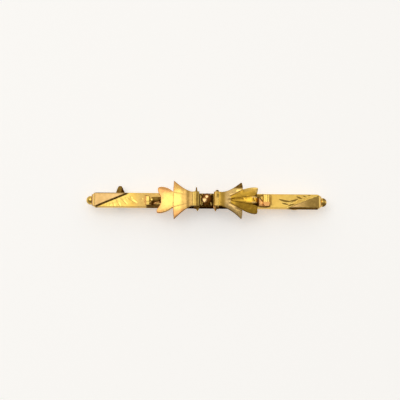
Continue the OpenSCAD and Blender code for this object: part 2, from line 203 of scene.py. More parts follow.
def dense(outline, step):
    """The outline with extra points, so that none lie further apart than step."""
    points = []
    for a, b in zip(outline, np.roll(outline, -1, axis=0)):
        count = max(1, math.ceil(np.linalg.norm(b - a) / step))
        points.extend(a + (b - a) * i / count for i in range(count))
    return np.array(points)


# Ways of making closed shells: each gives points and faces

# Places of a sheet, and how far each is from the outline and from the nearest cut line
Sheet = namedtuple("Sheet", "x y rim line")
# Rows of a grid of triangles lie this share of its step apart
ROW_GAP = 0.866


def grid_over(outline, step):
    """Places of a grid of triangles, inside an outline."""
    low, high = outline.min(axis=0), outline.max(axis=0)
    rows = []
    for j, y in enumerate(np.arange(low[1], high[1], step * ROW_GAP)):
        xs = np.arange(low[0] + (j % 2) * step / 2, high[0], step)
        rows.append(np.stack([xs, np.full(len(xs), y)], 1))
    grid = np.concatenate(rows)
    return grid[inside(grid, outline)]


def along_line(a, b, width, step):
    """Places along the middle of a cut line and along both its sides."""
    run = (b - a) / np.linalg.norm(b - a)
    side = np.array([-run[1], run[0]]) * width / 2
    ticks = np.arange(0, np.linalg.norm(b - a), step)
    return np.concatenate([a + run * ticks[:, None] + side * k for k in (-1, 0, 1)])


def cut_sheet(outline, step, heights, lines=(), line_width=0.1, edge=0.08):
    """A sheet cut to an outline given anticlockwise, and the places that it is made from. heights
    gives the top and the bottom of the sheet at those places. Rings of places follow the rounded
    edge, of radius edge, and rows of them the cut lines."""
    outline = np.array(outline, float)
    nexts = np.roll(outline, -1, axis=0)
    lines = np.array(lines, float).reshape(-1, 2, 2)

    def rim_of(p):
        return distance(p, outline, nexts)

    def line_of(p):
        return distance(p, lines[:, 0], lines[:, 1]) if len(lines) else np.full(len(p), np.inf)

    rim = dense(outline, step)
    along = np.roll(rim, -1, axis=0) - np.roll(rim, 1, axis=0)
    inward = np.stack([-along[:, 1], along[:, 0]], 1) / np.linalg.norm(along, axis=1)[:, None]
    parts = [rim]
    for angle in (30, 60, 90):
        depth = edge * (1 - math.cos(math.radians(angle)))
        ring = rim + inward * depth
        parts.append(ring[inside(ring, outline) & (rim_of(ring) > 0.93 * depth)])
    for a, b in lines:
        row = along_line(a, b, line_width, step * 0.6)
        parts.append(row[inside(row, outline) & (rim_of(row) > edge * 1.3)])
    grid = grid_over(outline, step)
    parts.append(grid[(rim_of(grid) > edge + step * 0.45)
                      & (line_of(grid) > (line_width + step) / 2)])
    flat = np.concatenate(parts)
    places, _, triangles, origins = delaunay_2d_cdt(
        [Vector(p) for p in flat], [], [list(range(len(rim)))], 1, 1e-4)[:4]
    found = {k: i for i, ks in enumerate(origins) for k in ks}
    border = [found[k] for k in range(len(rim))]
    flat = np.array([tuple(p) for p in places])
    at = Sheet(flat[:, 0], flat[:, 1], rim_of(flat), line_of(flat))
    top, bottom = heights(at)
    points = np.concatenate([np.column_stack([flat, top]), np.column_stack([flat, bottom])])
    n = len(flat)
    faces = [tuple(t) for t in triangles] + [tuple(n + k for k in reversed(t)) for t in triangles]
    faces.extend((n + a, n + b, b, a) for a, b in zip(border, border[1:] + border[:1]) if a != b)
    return (points, faces), at


def rounded_drop(rim, radius):
    """How far a rounded edge lies below the face at a distance from the rim."""
    short = np.clip(radius - rim, 0, radius)
    return radius - np.sqrt(radius ** 2 - short ** 2)


def round_turns(count):
    """Angles of equally many points round a circle."""
    return np.linspace(0, 2 * math.pi, count, endpoint=False)


def loft(rings, loop=False):
    """A shell through rings of equally many points, with a cap at each end unless it is a loop."""
    rings = np.array(rings, float)
    n, m = rings.shape[:2]
    faces = []
    for i in range(n if loop else n - 1):
        k = (i + 1) % n
        faces.extend((i * m + j, i * m + (j + 1) % m, k * m + (j + 1) % m, k * m + j)
                     for j in range(m))
    if not loop:
        faces.append(tuple(range(m)))
        faces.append(tuple((n - 1) * m + j for j in range(m)))
    return rings.reshape(-1, 3), faces


def turned(profile, origin, axis, sides):
    """A shell turned from a profile of (distance along, radius) about an axis through origin."""
    axis = np.array(axis, float)
    first = np.cross(axis, (0.3, 0.5, 0.81))
    first /= np.linalg.norm(first)
    second = np.cross(axis, first)
    turns = round_turns(sides)[:, None]
    circle = np.cos(turns) * first + np.sin(turns) * second
    return loft([np.array(origin) + axis * along + circle * radius for along, radius in profile])


def taken_from(made):
    """Points and faces of a bmesh, which is then freed."""
    made.verts.index_update()
    points = np.array([v.co[:] for v in made.verts])
    faces = [tuple(v.index for v in f.verts) for f in made.faces]
    made.free()
    return points, faces


def block(low, high, edge):
    """A block with rounded edges between two corners."""
    made = bmesh.new()
    bmesh.ops.create_cube(made, size=1)
    low, high = np.array(low, float), np.array(high, float)
    for v in made.verts:
        v.co = Vector((low + high) / 2 + np.array(v.co) * (high - low))
    bmesh.ops.bevel(made, geom=made.edges[:], offset=edge, segments=2, profile=0.5,
                    affect="EDGES")
    return taken_from(made)


def strap_section(low, high, thick, edge, count):
    """Points round a flat strap's section, as (place across, height over its middle)."""
    half = thick / 2
    corner = [(edge * (math.cos(a) - 1), (half - edge) * (1 if a >= 0 else -1)
               + edge * math.sin(a)) for a in np.radians([90, 45, 0, -45, -90])]
    right = [(high + inward, height) for inward, height in corner]
    left = [(low - inward, height) for inward, height in reversed(corner)]
    top = [(y, half) for y in np.linspace(low + edge, high - edge, count)[1:-1]]
    bottom = [(y, -half) for y in np.linspace(high - edge, low + edge, count)[1:-1]]
    return np.array(top + right + bottom + left)


def bent_strap(path, normals, ends, thick, edge, count, swap=False):
    """A strap along a path of (run, height) points. ends gives its two sides at each point.
    It runs along X and lies across Y, or the other way round where swap is set."""
    rings = []
    for (run, height), (nr, nh), (low, high) in zip(path, normals, ends):
        section = strap_section(low, high, thick, edge, count)
        across = section[:, 0]
        runs = run + nr * section[:, 1]
        heights = height + nh * section[:, 1]
        rings.append(np.column_stack([across, runs, heights] if swap else [runs, across, heights]))
    return loft(rings)


def headings(path):
    """Unit vectors along a path of points."""
    run = np.gradient(np.array(path), axis=0)
    return run / np.linalg.norm(run, axis=1)[:, None]


def normals_of(path):
    """Unit normals to the left of a path of points."""
    run = headings(path)
    return np.stack([-run[:, 1], run[:, 0]], 1)


def together(*shells):
    """Several shells as one."""
    points, faces = [], []
    for p, f in shells:
        start = sum(map(len, points))
        points.append(np.asarray(p))
        faces.extend(tuple(start + k for k in face) for face in f)
    return np.concatenate(points), faces


def mirrored(shell):
    """A shell turned from the right side of the brooch to the left."""
    points, faces = shell
    return points * (-1, 1, 1), [tuple(reversed(f)) for f in faces]


def link(name, data):
    """A new object in the scene."""
    made = bpy.data.objects.new(name, data)
    bpy.context.scene.collection.objects.link(made)
    return made


def finish_piece(piece, nodes):
    """Hands a finished piece over to the frame."""
    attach(piece, "root")
    if nodes:
        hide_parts(*nodes)


def new_mesh(name, shell, marks):
    """A smooth mesh from a shell in millimetres. marks gives a value at each point for the
    material."""
    points, faces = shell
    mesh = bpy.data.meshes.new(name)
    mesh.from_pydata((np.asarray(points) * MM).tolist(), [], faces)
    for mark, values in marks.items():
        mesh.attributes.new(mark, "FLOAT", "POINT").data.foreach_set("value", values)
    mesh.shade_smooth()
    return mesh


def make_piece(name, shell, look, slot="yellow_gold", sharp=38.0, **marks):
    """The piece that stands for the node of the same name, in the material that look makes and
    with the given marks. Edges that bend by more than sharp degrees stay sharp."""
    mesh = new_mesh(name, shell, marks)
    made = bmesh.new()
    made.from_mesh(mesh)
    bmesh.ops.recalc_face_normals(made, faces=made.faces)
    made.to_mesh(mesh)
    made.free()
    mesh.set_sharp_from_angle(angle=math.radians(sharp))
    mesh.materials.append(finish(look))
    finish_piece(link(name, mesh), [name])


# Materials

def add(tree, kind, inputs=None, **settings):
    """Adds a node with its settings, and fills its inputs with values or from other nodes. Of a
    node that is given whole, the first output in use is taken."""
    node = tree.nodes.new(kind)
    for name, value in settings.items():
        setattr(node, name, value)
    for name, value in (inputs or {}).items():
        if isinstance(value, bpy.types.Node):
            value = next(output for output in value.outputs if output.enabled)
        if isinstance(value, bpy.types.NodeSocket):
            tree.links.new(value, node.inputs[name])
        else:
            node.inputs[name].default_value = value
    return node


def shade(name, shares=(1, 1, 1)):
    """A colour setting, with its red, green and blue scaled by shares."""
    setting = getattr(bpy.context.scene.brooch_colours, name)
    return (*(v * share for v, share in zip(setting, shares)), 1.0)


def per_mm(size):
    """Scale of a pattern on Object coordinates whose parts are size millimetres wide."""
    return 1 / (size * MM)


def new_material(name):
    """An empty material and its node tree."""
    material = bpy.data.materials.new(name)
    material.use_nodes = True
    tree = material.node_tree
    tree.nodes.clear()
    return material, tree


# What is left of red, green and blue where gold has dulled, and in the painted black shadow
# where the soil mark is over one
DULLED = (0.86, 0.78, 0.66)
PAINTED_SHADOW = (0.1, 0.1, 0.1)


def gold(name, tint, blush, roughness, grain, grain_height, mottle, scratch=(1, 1, 1)):
    """Gold alloy: metallic, warm in its reflections, never quite even. grain is the width in
    millimetres of the finest marks of its finish, scratch stretches them along an axis, and
    mottle is how far its dullest patches go. The places marked soil take soil and painted shade,
    a painted black shadow where the mark is over one, and those marked rubbed a painted highlight."""
    material, tree = new_material(name)
    place = add(tree, "ShaderNodeTexCoord").outputs["Object"]
    cloud = add(tree, "ShaderNodeTexNoise", {"Vector": place, "Scale": per_mm(3.0), "Detail": 4.0})
    fleck = add(tree, "ShaderNodeTexNoise", {"Vector": place, "Scale": per_mm(0.5), "Detail": 5.0,
                                             "Roughness": 0.65})
    stretched = add(tree, "ShaderNodeMapping", {"Vector": place, "Scale": scratch})
    marks = add(tree, "ShaderNodeTexNoise", {"Vector": stretched, "Scale": per_mm(grain),
                                             "Detail": 3.0, "Roughness": 0.6})
    soil, rubbed, tinted = (add(tree, "ShaderNodeAttribute", attribute_name=mark).outputs["Fac"]
                            for mark in ("soil", "rubbed", "blush"))
    uneven = add(tree, "ShaderNodeMapRange", {"Value": cloud, "From Min": 0.42, "From Max": 0.68,
                                              "To Max": mottle})
    patchy = add(tree, "ShaderNodeMapRange", {"Value": fleck, "From Min": 0.35, "From Max": 0.55,
                                              "To Min": 0.75})
    # The soil mark lays real soil together with painted shade; over one, thick turns it to a
    # painted black shadow
    dirt_and_shade = add(tree, "ShaderNodeMath", {0: soil, 1: patchy}, operation="MULTIPLY", use_clamp=True)
    thick = add(tree, "ShaderNodeMath", {0: soil, 1: 1.0}, operation="SUBTRACT", use_clamp=True)
    grime_and_shade = add(tree, "ShaderNodeMix", {"Factor": thick, "A": shade("soil"),
                                        "B": shade("soil", PAINTED_SHADOW)}, data_type="RGBA")
    # Each coat covers its share of what lies below it. The rubbed coat is a painted highlight, and
    # the last coat is soil mixed with painted shade
    tone = shade(tint)
    for share, coat in ((uneven, shade(tint, DULLED)), (tinted, shade(blush)),
                        (rubbed, shade("bright")), (dirt_and_shade, grime_and_shade)):
        tone = add(tree, "ShaderNodeMix", {"Factor": share, "A": tone, "B": coat},
                   data_type="RGBA")
    rough = add(tree, "ShaderNodeMapRange", {"Value": fleck, "From Min": 0.3, "From Max": 0.75,
                                             "To Min": roughness - 0.05,
                                             "To Max": roughness + 0.09})
    for share, change in ((rubbed, -0.18), (dirt_and_shade, 0.3)):
        rough = add(tree, "ShaderNodeMath", {0: share, 1: change, 2: rough},
                    operation="MULTIPLY_ADD")
    # Where soil and painted shade lie, the gold gives way to a brown that does not shine
    metal, gloss = (add(tree, "ShaderNodeMath", {0: dirt_and_shade, 1: change, 2: clean},
                        operation="MULTIPLY_ADD", use_clamp=True)
                    for change, clean in ((-1.25, 1.0), (-1.0, 0.5)))
    relief = add(tree, "ShaderNodeBump", {"Height": marks, "Strength": 1.0,
                                          "Distance": grain_height * MM})
    surface = add(tree, "ShaderNodeBsdfPrincipled", {
        "Base Color": tone, "Metallic": metal, "Roughness": rough, "Specular IOR Level": gloss,
        "Normal": relief})
    add(tree, "ShaderNodeOutputMaterial", {"Surface": surface})
    return material


def bloomed_gold():
    """Yellow gold left matt by an acid bath: a fine even frost that scatters the light."""
    return gold("bloomed_yellow_gold", "yellow", "rose", roughness=0.36, grain=0.16,
                grain_height=0.006, mottle=0.8)


def polished_gold():
    """Yellow gold polished by hand: clear reflections with soft wear."""
    return gold("polished_yellow_gold", "yellow", "blush", roughness=0.22, grain=0.3,
                grain_height=0.003, mottle=0.4)


def lit_gold():
    """Fan sheet in a lit copy of the gold, painted bright, with a fine streak along each petal."""
    return gold("burnished_bright_gold", "bright", "blush", roughness=0.26, grain=0.12,
                grain_height=0.0025, mottle=0.32, scratch=(0.12, 1, 1))


def shaded_gold():
    """Fan sheet in a shaded copy of the gold, painted a deeper, quieter yellow, paler on its
    spikes.
    """
    return gold("mellow_deep_gold", "deep", "pale", roughness=0.27, grain=0.12,
                grain_height=0.004, mottle=0.48, scratch=(0.12, 1, 1))


def satin_rose_gold():
    """Rose gold rubbed one way with fine grit: a pinker, flatter sheen."""
    return gold("satin_rose_gold", "rose", "yellow", roughness=0.36, grain=0.1,
                grain_height=0.005, mottle=0.4, scratch=(0.1, 1, 1))


def smoky_stone():
    """Cut smoky quartz: brown glassy body with sharp polished facets, two of which carry a painted
    highlight that glows, with a painted warm glow round one of them."""
    material, tree = new_material("cut_smoky_quartz")
    place = add(tree, "ShaderNodeTexCoord").outputs["Object"]
    zones = add(tree, "ShaderNodeTexNoise", {"Vector": place, "Scale": per_mm(0.5), "Detail": 3.0})
    facing = add(tree, "ShaderNodeNewGeometry").outputs["True Normal"]
    # Two facets get a painted highlight, each a spot on the facet that faces a fixed direction
    lights = []
    for turn, spread in STONE_LIGHTS:
        normal, middle = crown_facet(turn)
        lean = add(tree, "ShaderNodeVectorMath", {0: facing, 1: Vector(normal)},
                   operation="DOT_PRODUCT")
        on_facet = add(tree, "ShaderNodeMapRange", {"Value": lean, "From Min": 0.96,
                                                    "From Max": 0.99, "To Min": 0.25})
        away = add(tree, "ShaderNodeVectorMath", {0: place, 1: Vector(middle * MM)},
                   operation="DISTANCE")
        spot = add(tree, "ShaderNodeMapRange", {"Value": away, "From Min": spread * 0.4 * MM,
                                                "From Max": spread * MM, "To Min": 1.0,
                                                "To Max": 0.0})
        lights.append(add(tree, "ShaderNodeMath", {0: on_facet, 1: spot}, operation="MULTIPLY"))
    lit = add(tree, "ShaderNodeMath", {0: lights[0], 1: lights[1]}, operation="MAXIMUM")
    cloudy = add(tree, "ShaderNodeMapRange", {"Value": zones, "From Min": 0.35, "From Max": 0.55,
                                              "To Min": 0.75})
    share = add(tree, "ShaderNodeMath", {0: lit, 1: cloudy}, operation="MULTIPLY")
    facet = add(tree, "ShaderNodeTexNoise", {"Vector": facing, "Scale": 2.3, "Detail": 0.0})
    tone = add(tree, "ShaderNodeMapRange", {"Value": facet, "From Min": 0.42, "From Max": 0.7,
                                            "To Max": 0.35})
    # A painted warm glow round one of the painted highlights
    halo = add(tree, "ShaderNodeMapRange", {"Value": away, "From Min": 0.3 * MM,
                                            "From Max": 1.3 * MM, "To Min": 0.75, "To Max": 0.0})
    warm = add(tree, "ShaderNodeMath", {0: tone, 1: halo}, operation="MAXIMUM")
    body = add(tree, "ShaderNodeMix", {"Factor": warm, "A": shade("stone"), "B": shade("amber")},
               data_type="RGBA")
    glowing = add(tree, "ShaderNodeMix", {"Factor": share, "A": body, "B": shade("stone_light")},
                  data_type="RGBA")
    # The painted highlight also glows, though the stone is no lamp
    glow = add(tree, "ShaderNodeMath", {0: share, 1: 0.85}, operation="MULTIPLY")
    surface = add(tree, "ShaderNodeBsdfPrincipled", {
        "Base Color": glowing, "Roughness": 0.08, "IOR": 1.5, "Specular IOR Level": 0.3,
        "Specular Tint": shade("amber"), "Emission Color": shade("stone_light"),
        "Emission Strength": glow})
    add(tree, "ShaderNodeOutputMaterial", {"Surface": surface})
    return material


def light_table():
    """Frosted acrylic of a light table: pale, matt and softly lit from below."""
    material, tree = new_material("frosted_light_table")
    place = add(tree, "ShaderNodeTexCoord").outputs["Object"]
    tooth = add(tree, "ShaderNodeTexNoise", {"Vector": place, "Scale": per_mm(0.8), "Detail": 3.0})
    relief = add(tree, "ShaderNodeBump", {"Height": tooth, "Strength": 0.3, "Distance": 0.01 * MM})
    surface = add(tree, "ShaderNodeBsdfPrincipled", {
        "Base Color": shade("floor"), "Roughness": 0.9, "Specular IOR Level": 0.2,
        "Normal": relief, "Emission Color": (1, 1, 1, 1), "Emission Strength": 0.38})
    add(tree, "ShaderNodeOutputMaterial", {"Surface": surface})
    return material


FINISHES = {}


def finish(make):
    """A material that several pieces share, made once."""
    name = make.__name__
    if name not in FINISHES:
        FINISHES[name] = make()
    return FINISHES[name]


# Node trees that grow what repeats

def new_tree(name, inputs):
    """A geometry node tree with named inputs, and the outputs that give them inside it."""
    tree = bpy.data.node_groups.new(name, "GeometryNodeTree")
    for label, kind in inputs.items():
        tree.interface.new_socket(name=label, in_out="INPUT", socket_type="NodeSocket" + kind)
    tree.interface.new_socket(name="Geometry", in_out="OUTPUT", socket_type="NodeSocketGeometry")
    return tree, add(tree, "NodeGroupInput").outputs


def close_tree(tree, geometry, material):
    """Ends a tree in real geometry that wears a material."""
    real = add(tree, "GeometryNodeRealizeInstances", {"Geometry": geometry})
    dressed = add(tree, "GeometryNodeSetMaterial", {"Geometry": real, "Material": material})
    add(tree, "NodeGroupOutput", {"Geometry": dressed})
    return tree


def grow(name, tree, values, mesh=None):
    """A piece with the plain mesh that a node tree makes from named values and, where it is
    given, a mesh to copy."""
    carrier = link(name, mesh or bpy.data.meshes.new(name))
    modifier = carrier.modifiers.new("Growth", "NODES")
    modifier.node_group = tree
    for item in tree.interface.items_tree:
        if item.in_out == "INPUT" and item.name in values:
            modifier[item.identifier] = values[item.name]
    evaluated = carrier.evaluated_get(bpy.context.evaluated_depsgraph_get())
    grown = bpy.data.meshes.new_from_object(evaluated)
    carrier.modifiers.remove(modifier)
    carrier.data = grown
    finish_piece(carrier, [])


def grain_row_tree():
    """Round grains in a row from one point to another."""
    tree, given = new_tree("grain_row", {"Start": "Vector", "Step": "Vector", "Count": "Int",
                                         "Diameter": "Float", "Height share": "Float",
                                         "Soil": "Float", "Material": "Material"})
    row = add(tree, "GeometryNodeMeshLine", {
        "Count": given["Count"], "Start Location": given["Start"], "Offset": given["Step"]})
    radius = add(tree, "ShaderNodeMath", {0: given["Diameter"], 1: 0.5}, operation="MULTIPLY")
    grain = add(tree, "GeometryNodeMeshUVSphere", {"Segments": 16, "Rings": 10, "Radius": radius})
    smooth = add(tree, "GeometryNodeSetShadeSmooth", {"Geometry": grain})
    scale = add(tree, "ShaderNodeCombineXYZ", {"X": 1.0, "Y": 1.0, "Z": given["Height share"]})
    placed = add(tree, "GeometryNodeInstanceOnPoints", {"Points": row, "Instance": smooth,
                                                        "Scale": scale})
    real = add(tree, "GeometryNodeRealizeInstances", {"Geometry": placed})
    # The Soil input also carries painted shade: the left plate's grains are painted dark, as if
    # turned from the light
    dirty = add(tree, "GeometryNodeStoreNamedAttribute", {"Geometry": real, "Name": "soil",
                                                          "Value": given["Soil"]})
    return close_tree(tree, dirty, given["Material"])


def ring_of_claws_tree():
    """Copies of one claw, spaced evenly round the stone."""
    tree, given = new_tree("ring_of_claws", {"Geometry": "Geometry", "Count": "Int",
                                             "First turn": "Float", "Material": "Material"})
    points = add(tree, "GeometryNodePoints", {"Count": given["Count"]})
    number = add(tree, "GeometryNodeInputIndex")
    part = add(tree, "ShaderNodeMath", {0: 2 * math.pi, 1: given["Count"]}, operation="DIVIDE")
    turn = add(tree, "ShaderNodeMath", {0: number, 1: part, 2: given["First turn"]},
               operation="MULTIPLY_ADD")
    rotation = add(tree, "ShaderNodeCombineXYZ", {"Z": turn})
    placed = add(tree, "GeometryNodeInstanceOnPoints", {
        "Points": points, "Instance": given["Geometry"], "Rotation": rotation})
    return close_tree(tree, placed, given["Material"])


def drawn_wire_tree():
    """A round wire along a line that tapers to a point at its start."""
    tree, given = new_tree("drawn_wire", {"Start": "Vector", "End": "Vector",
                                          "Diameter": "Float", "Point": "Float",
                                          "Material": "Material"})
    line = add(tree, "GeometryNodeCurvePrimitiveLine", {"Start": given["Start"],
                                                        "End": given["End"]})
    cut = add(tree, "GeometryNodeResampleCurve", {"Curve": line, "Count": 160})
    along = add(tree, "GeometryNodeSplineParameter").outputs["Length"]
    share = add(tree, "ShaderNodeMath", {0: along, 1: given["Point"]}, operation="DIVIDE")
    taper = add(tree, "ShaderNodeMath", {0: share, 1: 0.7}, operation="POWER")
    full = add(tree, "ShaderNodeClamp", {"Value": taper, "Min": 0.12, "Max": 1.0})
    radius = add(tree, "ShaderNodeMath", {0: given["Diameter"], 1: 0.5}, operation="MULTIPLY")
    section = add(tree, "GeometryNodeCurvePrimitiveCircle", {"Resolution": 32, "Radius": radius})
    wire = add(tree, "GeometryNodeCurveToMesh", {"Curve": cut, "Profile Curve": section,
                                                 "Scale": full, "Fill Caps": True})
    smooth = add(tree, "GeometryNodeSetShadeSmooth", {"Geometry": wire})
    return close_tree(tree, smooth, given["Material"])


# Engraving: places are shares of half the bar, turn is in degrees, share is that of the longest
# stroke, and bend is how far the stroke's middle is off the straight, as a share of half of it.
# A bright stroke is shallow, with one wide polished facet and a painted highlight. A dark one is
# deep and painted with shade, with a painted highlight on its lip
Stroke = namedtuple("Stroke", "along across turn share bend bright", defaults=(0.0, False))
FERN = [
    Stroke(-0.866, -0.82, 98, 0.34, 0, True),
    Stroke(-0.839, -0.76, 105, 0.50, 0, True),
    Stroke(-0.808, -0.68, 114, 0.66, 0, True),
    Stroke(-0.767, -0.50, 124, 0.95, 0, True),
    Stroke(-0.722, -0.20, 137, 1.15, 0, True),
    Stroke(-0.648, -0.12, 152, 1.25, 0, True),
    Stroke(-0.657, 0.30, 139, 0.45, 0, True),
    Stroke(-0.700, 0.16, 140, 0.40, 0, True),
    Stroke(-0.560, 0.13, 150, 0.25, 0, True),
]
SPRIG = [
    Stroke(0.684, 0.136, -11, 1.37, -0.12),
    Stroke(0.763, 0.20, 17, 0.87, -0.15),
    Stroke(0.685, -0.371, -13, 0.73),
    Stroke(0.7375, -0.557, 16, 0.70, 0.1),
    Stroke(0.742, -0.229, 22, 0.50, 0, True),
    Stroke(0.807, 0.514, -24, 0.66),
    Stroke(0.854, 0.70, -26, 0.34),
    Stroke(0.838, 0.36, 14, 0.50, 0, True),
    Stroke(0.876, 0.70, 8, 0.40, 0, True),
    Stroke(0.893, 0.84, -10, 0.26),
]


def engraved(strokes, x, y):
    """Depth of the strokes at each place, and its painted shade and painted highlight, as shares.
    """
    depth, dark, bright = np.zeros((3, len(x)))
    for s in strokes:
        turn = math.radians(s.turn)
        dx, dy = x - s.along * HALF_LENGTH, y - s.across * HALF_WIDTH
        half = mm("stroke_length") / 2 * s.share
        along = (dx * math.cos(turn) + dy * math.sin(turn)) / half
        beside = dy * math.cos(turn) - dx * math.sin(turn) - s.bend * half * (1 - along ** 2)
        body = np.clip(1 - along ** 2, 0, 1) ** 0.7 * min(s.share, 1) ** 0.5
        wide = (mm("stroke_width") * body + 1e-6) * (1.25 if s.bright else 1.0)
        # A graver leans, so that one wall of the cut is steeper than the other
        steep = 0.25 if s.bright else 0.4
        side = np.where(beside > 0, beside / steep, -beside / (1 - steep)) / wide
        cut = body * (0.5 + 0.5 * np.cos(np.clip(side, 0, 1) * math.pi))
        tapered = ease(0.05, 0.3, body)
        mark = tapered * ease(1.0, 0.55, side)
        # A bright stroke gets a painted highlight, with a little painted shade towards one end
        if s.bright:
            depth = np.maximum(depth, 0.55 * cut)
            bright = np.maximum(bright, 0.8 * mark * ease(0.8, -0.3, along))
            dark = np.maximum(dark, 0.22 * mark * ease(-0.2, 0.5, along))
        else:
            # A dark stroke is painted with shade, and its lip beside it with a painted highlight
            depth = np.maximum(depth, cut)
            dark = np.maximum(dark, mark)
            lip = tapered * around(1.25, 0.3, side) * (beside < 0)
            bright = np.maximum(bright, 0.5 * lip)
    return depth, dark, bright * (1 - dark)


# The two stretches of the bar that are engraved, where its sections lie closest
ENGRAVED = [(-21.6, -12.6), (14.6, 21.0)]


def bar_shell():
    """The engraved bar, lofted from end to end, and the painted shade and painted highlight that
    its engraving gives each point."""
    corner_run, corner_drop, end_slope, end_drop = 0.8, 0.45, 0.3, 0.075
    edge, chamfer = 0.1, 0.06
    ends = np.array([0, 0.03, 0.1, 0.2, end_slope, 0.33, 0.43, 0.6, corner_run, 0.85])
    plain = np.linspace(-HALF_LENGTH + 1, HALF_LENGTH - 1, 160)
    stations = np.unique(np.concatenate(
        [*(np.arange(first, last, 0.05) for first, last in ENGRAVED), plain,
         HALF_LENGTH - ends, ends - HALF_LENGTH]))
    across = np.linspace(-1, 1, 61)
    arc = np.radians([15, 30, 45, 60, 75, 90])
    rings, marks = [], []
    for x in stations:
        left = HALF_LENGTH - abs(x)
        wide = HALF_WIDTH - corner_drop * max(0.0, 1 - left / corner_run)
        rounding = 0.06 * max(0.0, 1 - left / 0.08) ** 2
        top = FACE - end_drop * max(0.0, 1 - left / end_slope) - rounding
        ys = across * (wide - edge)
        depth, dark, bright = engraved(FERN if x < 0 else SPRIG, np.full_like(ys, x), ys)
        zs = top - mm("stroke_depth") * depth
        right = [(wide - edge + edge * math.sin(a), top - edge + edge * math.cos(a)) for a in arc]
        low = [(wide, BACK + chamfer), (wide - chamfer, BACK), (0, BACK), (chamfer - wide, BACK),
               (-wide, BACK + chamfer)]
        ring = [*zip(ys, zs), *right, *low, *((-y, z) for y, z in reversed(right))]
        rings.append([(x, y, z) for y, z in ring])
        rest = np.zeros((len(ring) - len(ys), 2))
        marks.append(np.concatenate([np.stack([dark, bright]).T, rest]))
    return loft(rings), np.concatenate(marks)


def ball_end_shell():
    """A ball on a short round seat at the right end of the bar."""
    low, high = corners("ball_end_right")
    radius = (high[1] - low[1]) / 2
    centre = high[0] - low[0] - radius
    seat, seat_r = 0.06, radius * 0.94
    first = math.asin((seat + 0.02 - centre) / radius)
    ball = [(centre + radius * math.sin(a), radius * math.cos(a))
            for a in np.linspace(first, math.radians(89), 24)]
    profile = [(0, seat_r - 0.03), (0.02, seat_r), (seat - 0.03, seat_r), (seat, seat_r - 0.04),
               *ball]
    return turned(profile, (low[0], 0, (low[2] + high[2]) / 2), (1, 0, 0), sides=56)


# Both corner plates are worked out in the left one's place, and the right one is turned round.
# cut is how much of the lower corner is cut off, inset how far the milled edge lies inwards,
# bare how much of the edge has no grains, squash how high the grains are for their width, soil
# how much painted shade they have, and dome how far the plate's ends fall. rim_worn is how much
# painted shade its rim loses at the bar's end, dull how much painted shade it gets towards there,
# yellow how yellow the plate is, and yellower how much yellower it gets towards there
Plate = namedtuple("Plate", "name turn cut inset bare squash soil dome rim_worn dull yellow "
                            "yellower")
PLATES = [
    Plate("left", 1, 0.35, 0.0, 0.5, 0.95, 0.97, 0.1, 0.6, 0.08, 0.15, 0.0),
    Plate("right", -1, 0.0, 0.17, 0.8, 0.26, 0.0, 0.17, 0.0, 0.58, 0.2, 0.6),
]


def milled_edge(plate):
    """Start and run of the slanted edge of a corner plate."""
    low, high = corners("corner_plate_left")
    start = np.array([low[0] + plate.cut, low[1]])
    run = high[:2] - start
    return start + np.array([-run[1], run[0]]) / np.linalg.norm(run) * plate.inset, run


def corner_plate_shell(plate):
    """A three-cornered plate without its milled edge, then its painted shade and its blush."""
    low, high = corners("corner_plate_left")
    (start_x, start_y), (run_x, run_y) = milled_edge(plate)
    foot = [(low[0], start_y + (low[0] - start_x) * run_y / run_x)]
    if start_x > low[0]:
        foot = [(low[0], low[1]), (start_x, start_y)]
    outline = [(low[0], high[1]), *foot, (start_x + (high[1] - start_y) * run_x / run_y, high[1])]
    edge, middle, half = 0.07, (low[0] + high[0]) / 2, (high[0] - low[0]) / 2

    def heights(at):
        fall = plate.dome * ((at.x - middle) / half) ** 2
        return high[2] - fall - rounded_drop(at.rim, edge), np.full_like(at.x, low[2])

    shell, at = cut_sheet(outline, 0.12, heights, edge=edge)
    # Painted shade along the rim, less of it at the bar's end, and painted shade growing towards
    # that end
    rims = 0.9 * around(0, 0.13, at.rim) * (1 - plate.rim_worn * ease(-22.95, -23.1, at.x))
    toward_end = ease(high[0] - 1.0, low[0] + 1.0, at.x)
    soil = np.maximum(rims, plate.dull * toward_end)
    return shell, np.tile(soil, 2), np.tile(plate.yellow + plate.yellower * toward_end, 2)


# The fans: u runs outwards from the middle of the brooch, v across

# How high a fan's middle lies over the bar's face, as (u, height)
NECK = [(1.5, 1.5), (2.3, 1.5), (2.8, 1.43), (3.5, 1.2), (4.2, 0.97), (4.8, 0.84), (5.6, 0.72),
        (6.8, 0.6), (8.4, 0.5), (9.6, 0.44), (10.9, 0.36)]


def spike_side(tip, pull, back_pull, waist):
    """Outline of half the neck with its spike, from the inner end outwards to the waist. The long
    edge is drawn towards pull and the back of the spike towards back_pull."""
    start, neck = 1.5, 1.5
    tip, waist = np.array(tip), np.array(waist)
    return [(start, neck), *curve((3.1, neck), pull, tip - (0.03, 0.02), 14), tip + (0.03, 0.0),
            *curve(tip + (0.06, -0.06), back_pull, waist, 8)]


def left_outline():
    """Two spikes, and a fish tail whose lower tip is the longer one."""
    upper = [*spike_side((6.74, 4.1), (4.6, 2.05), (6.88, 3.0), (6.92, 1.72)),
             *curve((7.05, 1.78), (8.3, 2.86), (9.6, 2.74), 12), (9.95, 2.64), (10.1, 2.46),
             (10.14, 2.2), (10.1, 1.86), (9.86, 1.26), (9.52, 0.72)]
    lower = [*spike_side((6.7, 4.08), (4.6, 2.05), (6.86, 3.0), (6.92, 1.72)),
             *curve((7.05, 1.78), (8.3, 2.8), (9.7, 2.86), 12), (10.05, 2.84), (10.28, 2.74),
             (10.33, 2.5), (10.26, 2.1), (9.72, 1.34), (9.46, 0.7)]
    return flat_outline(upper, lower)


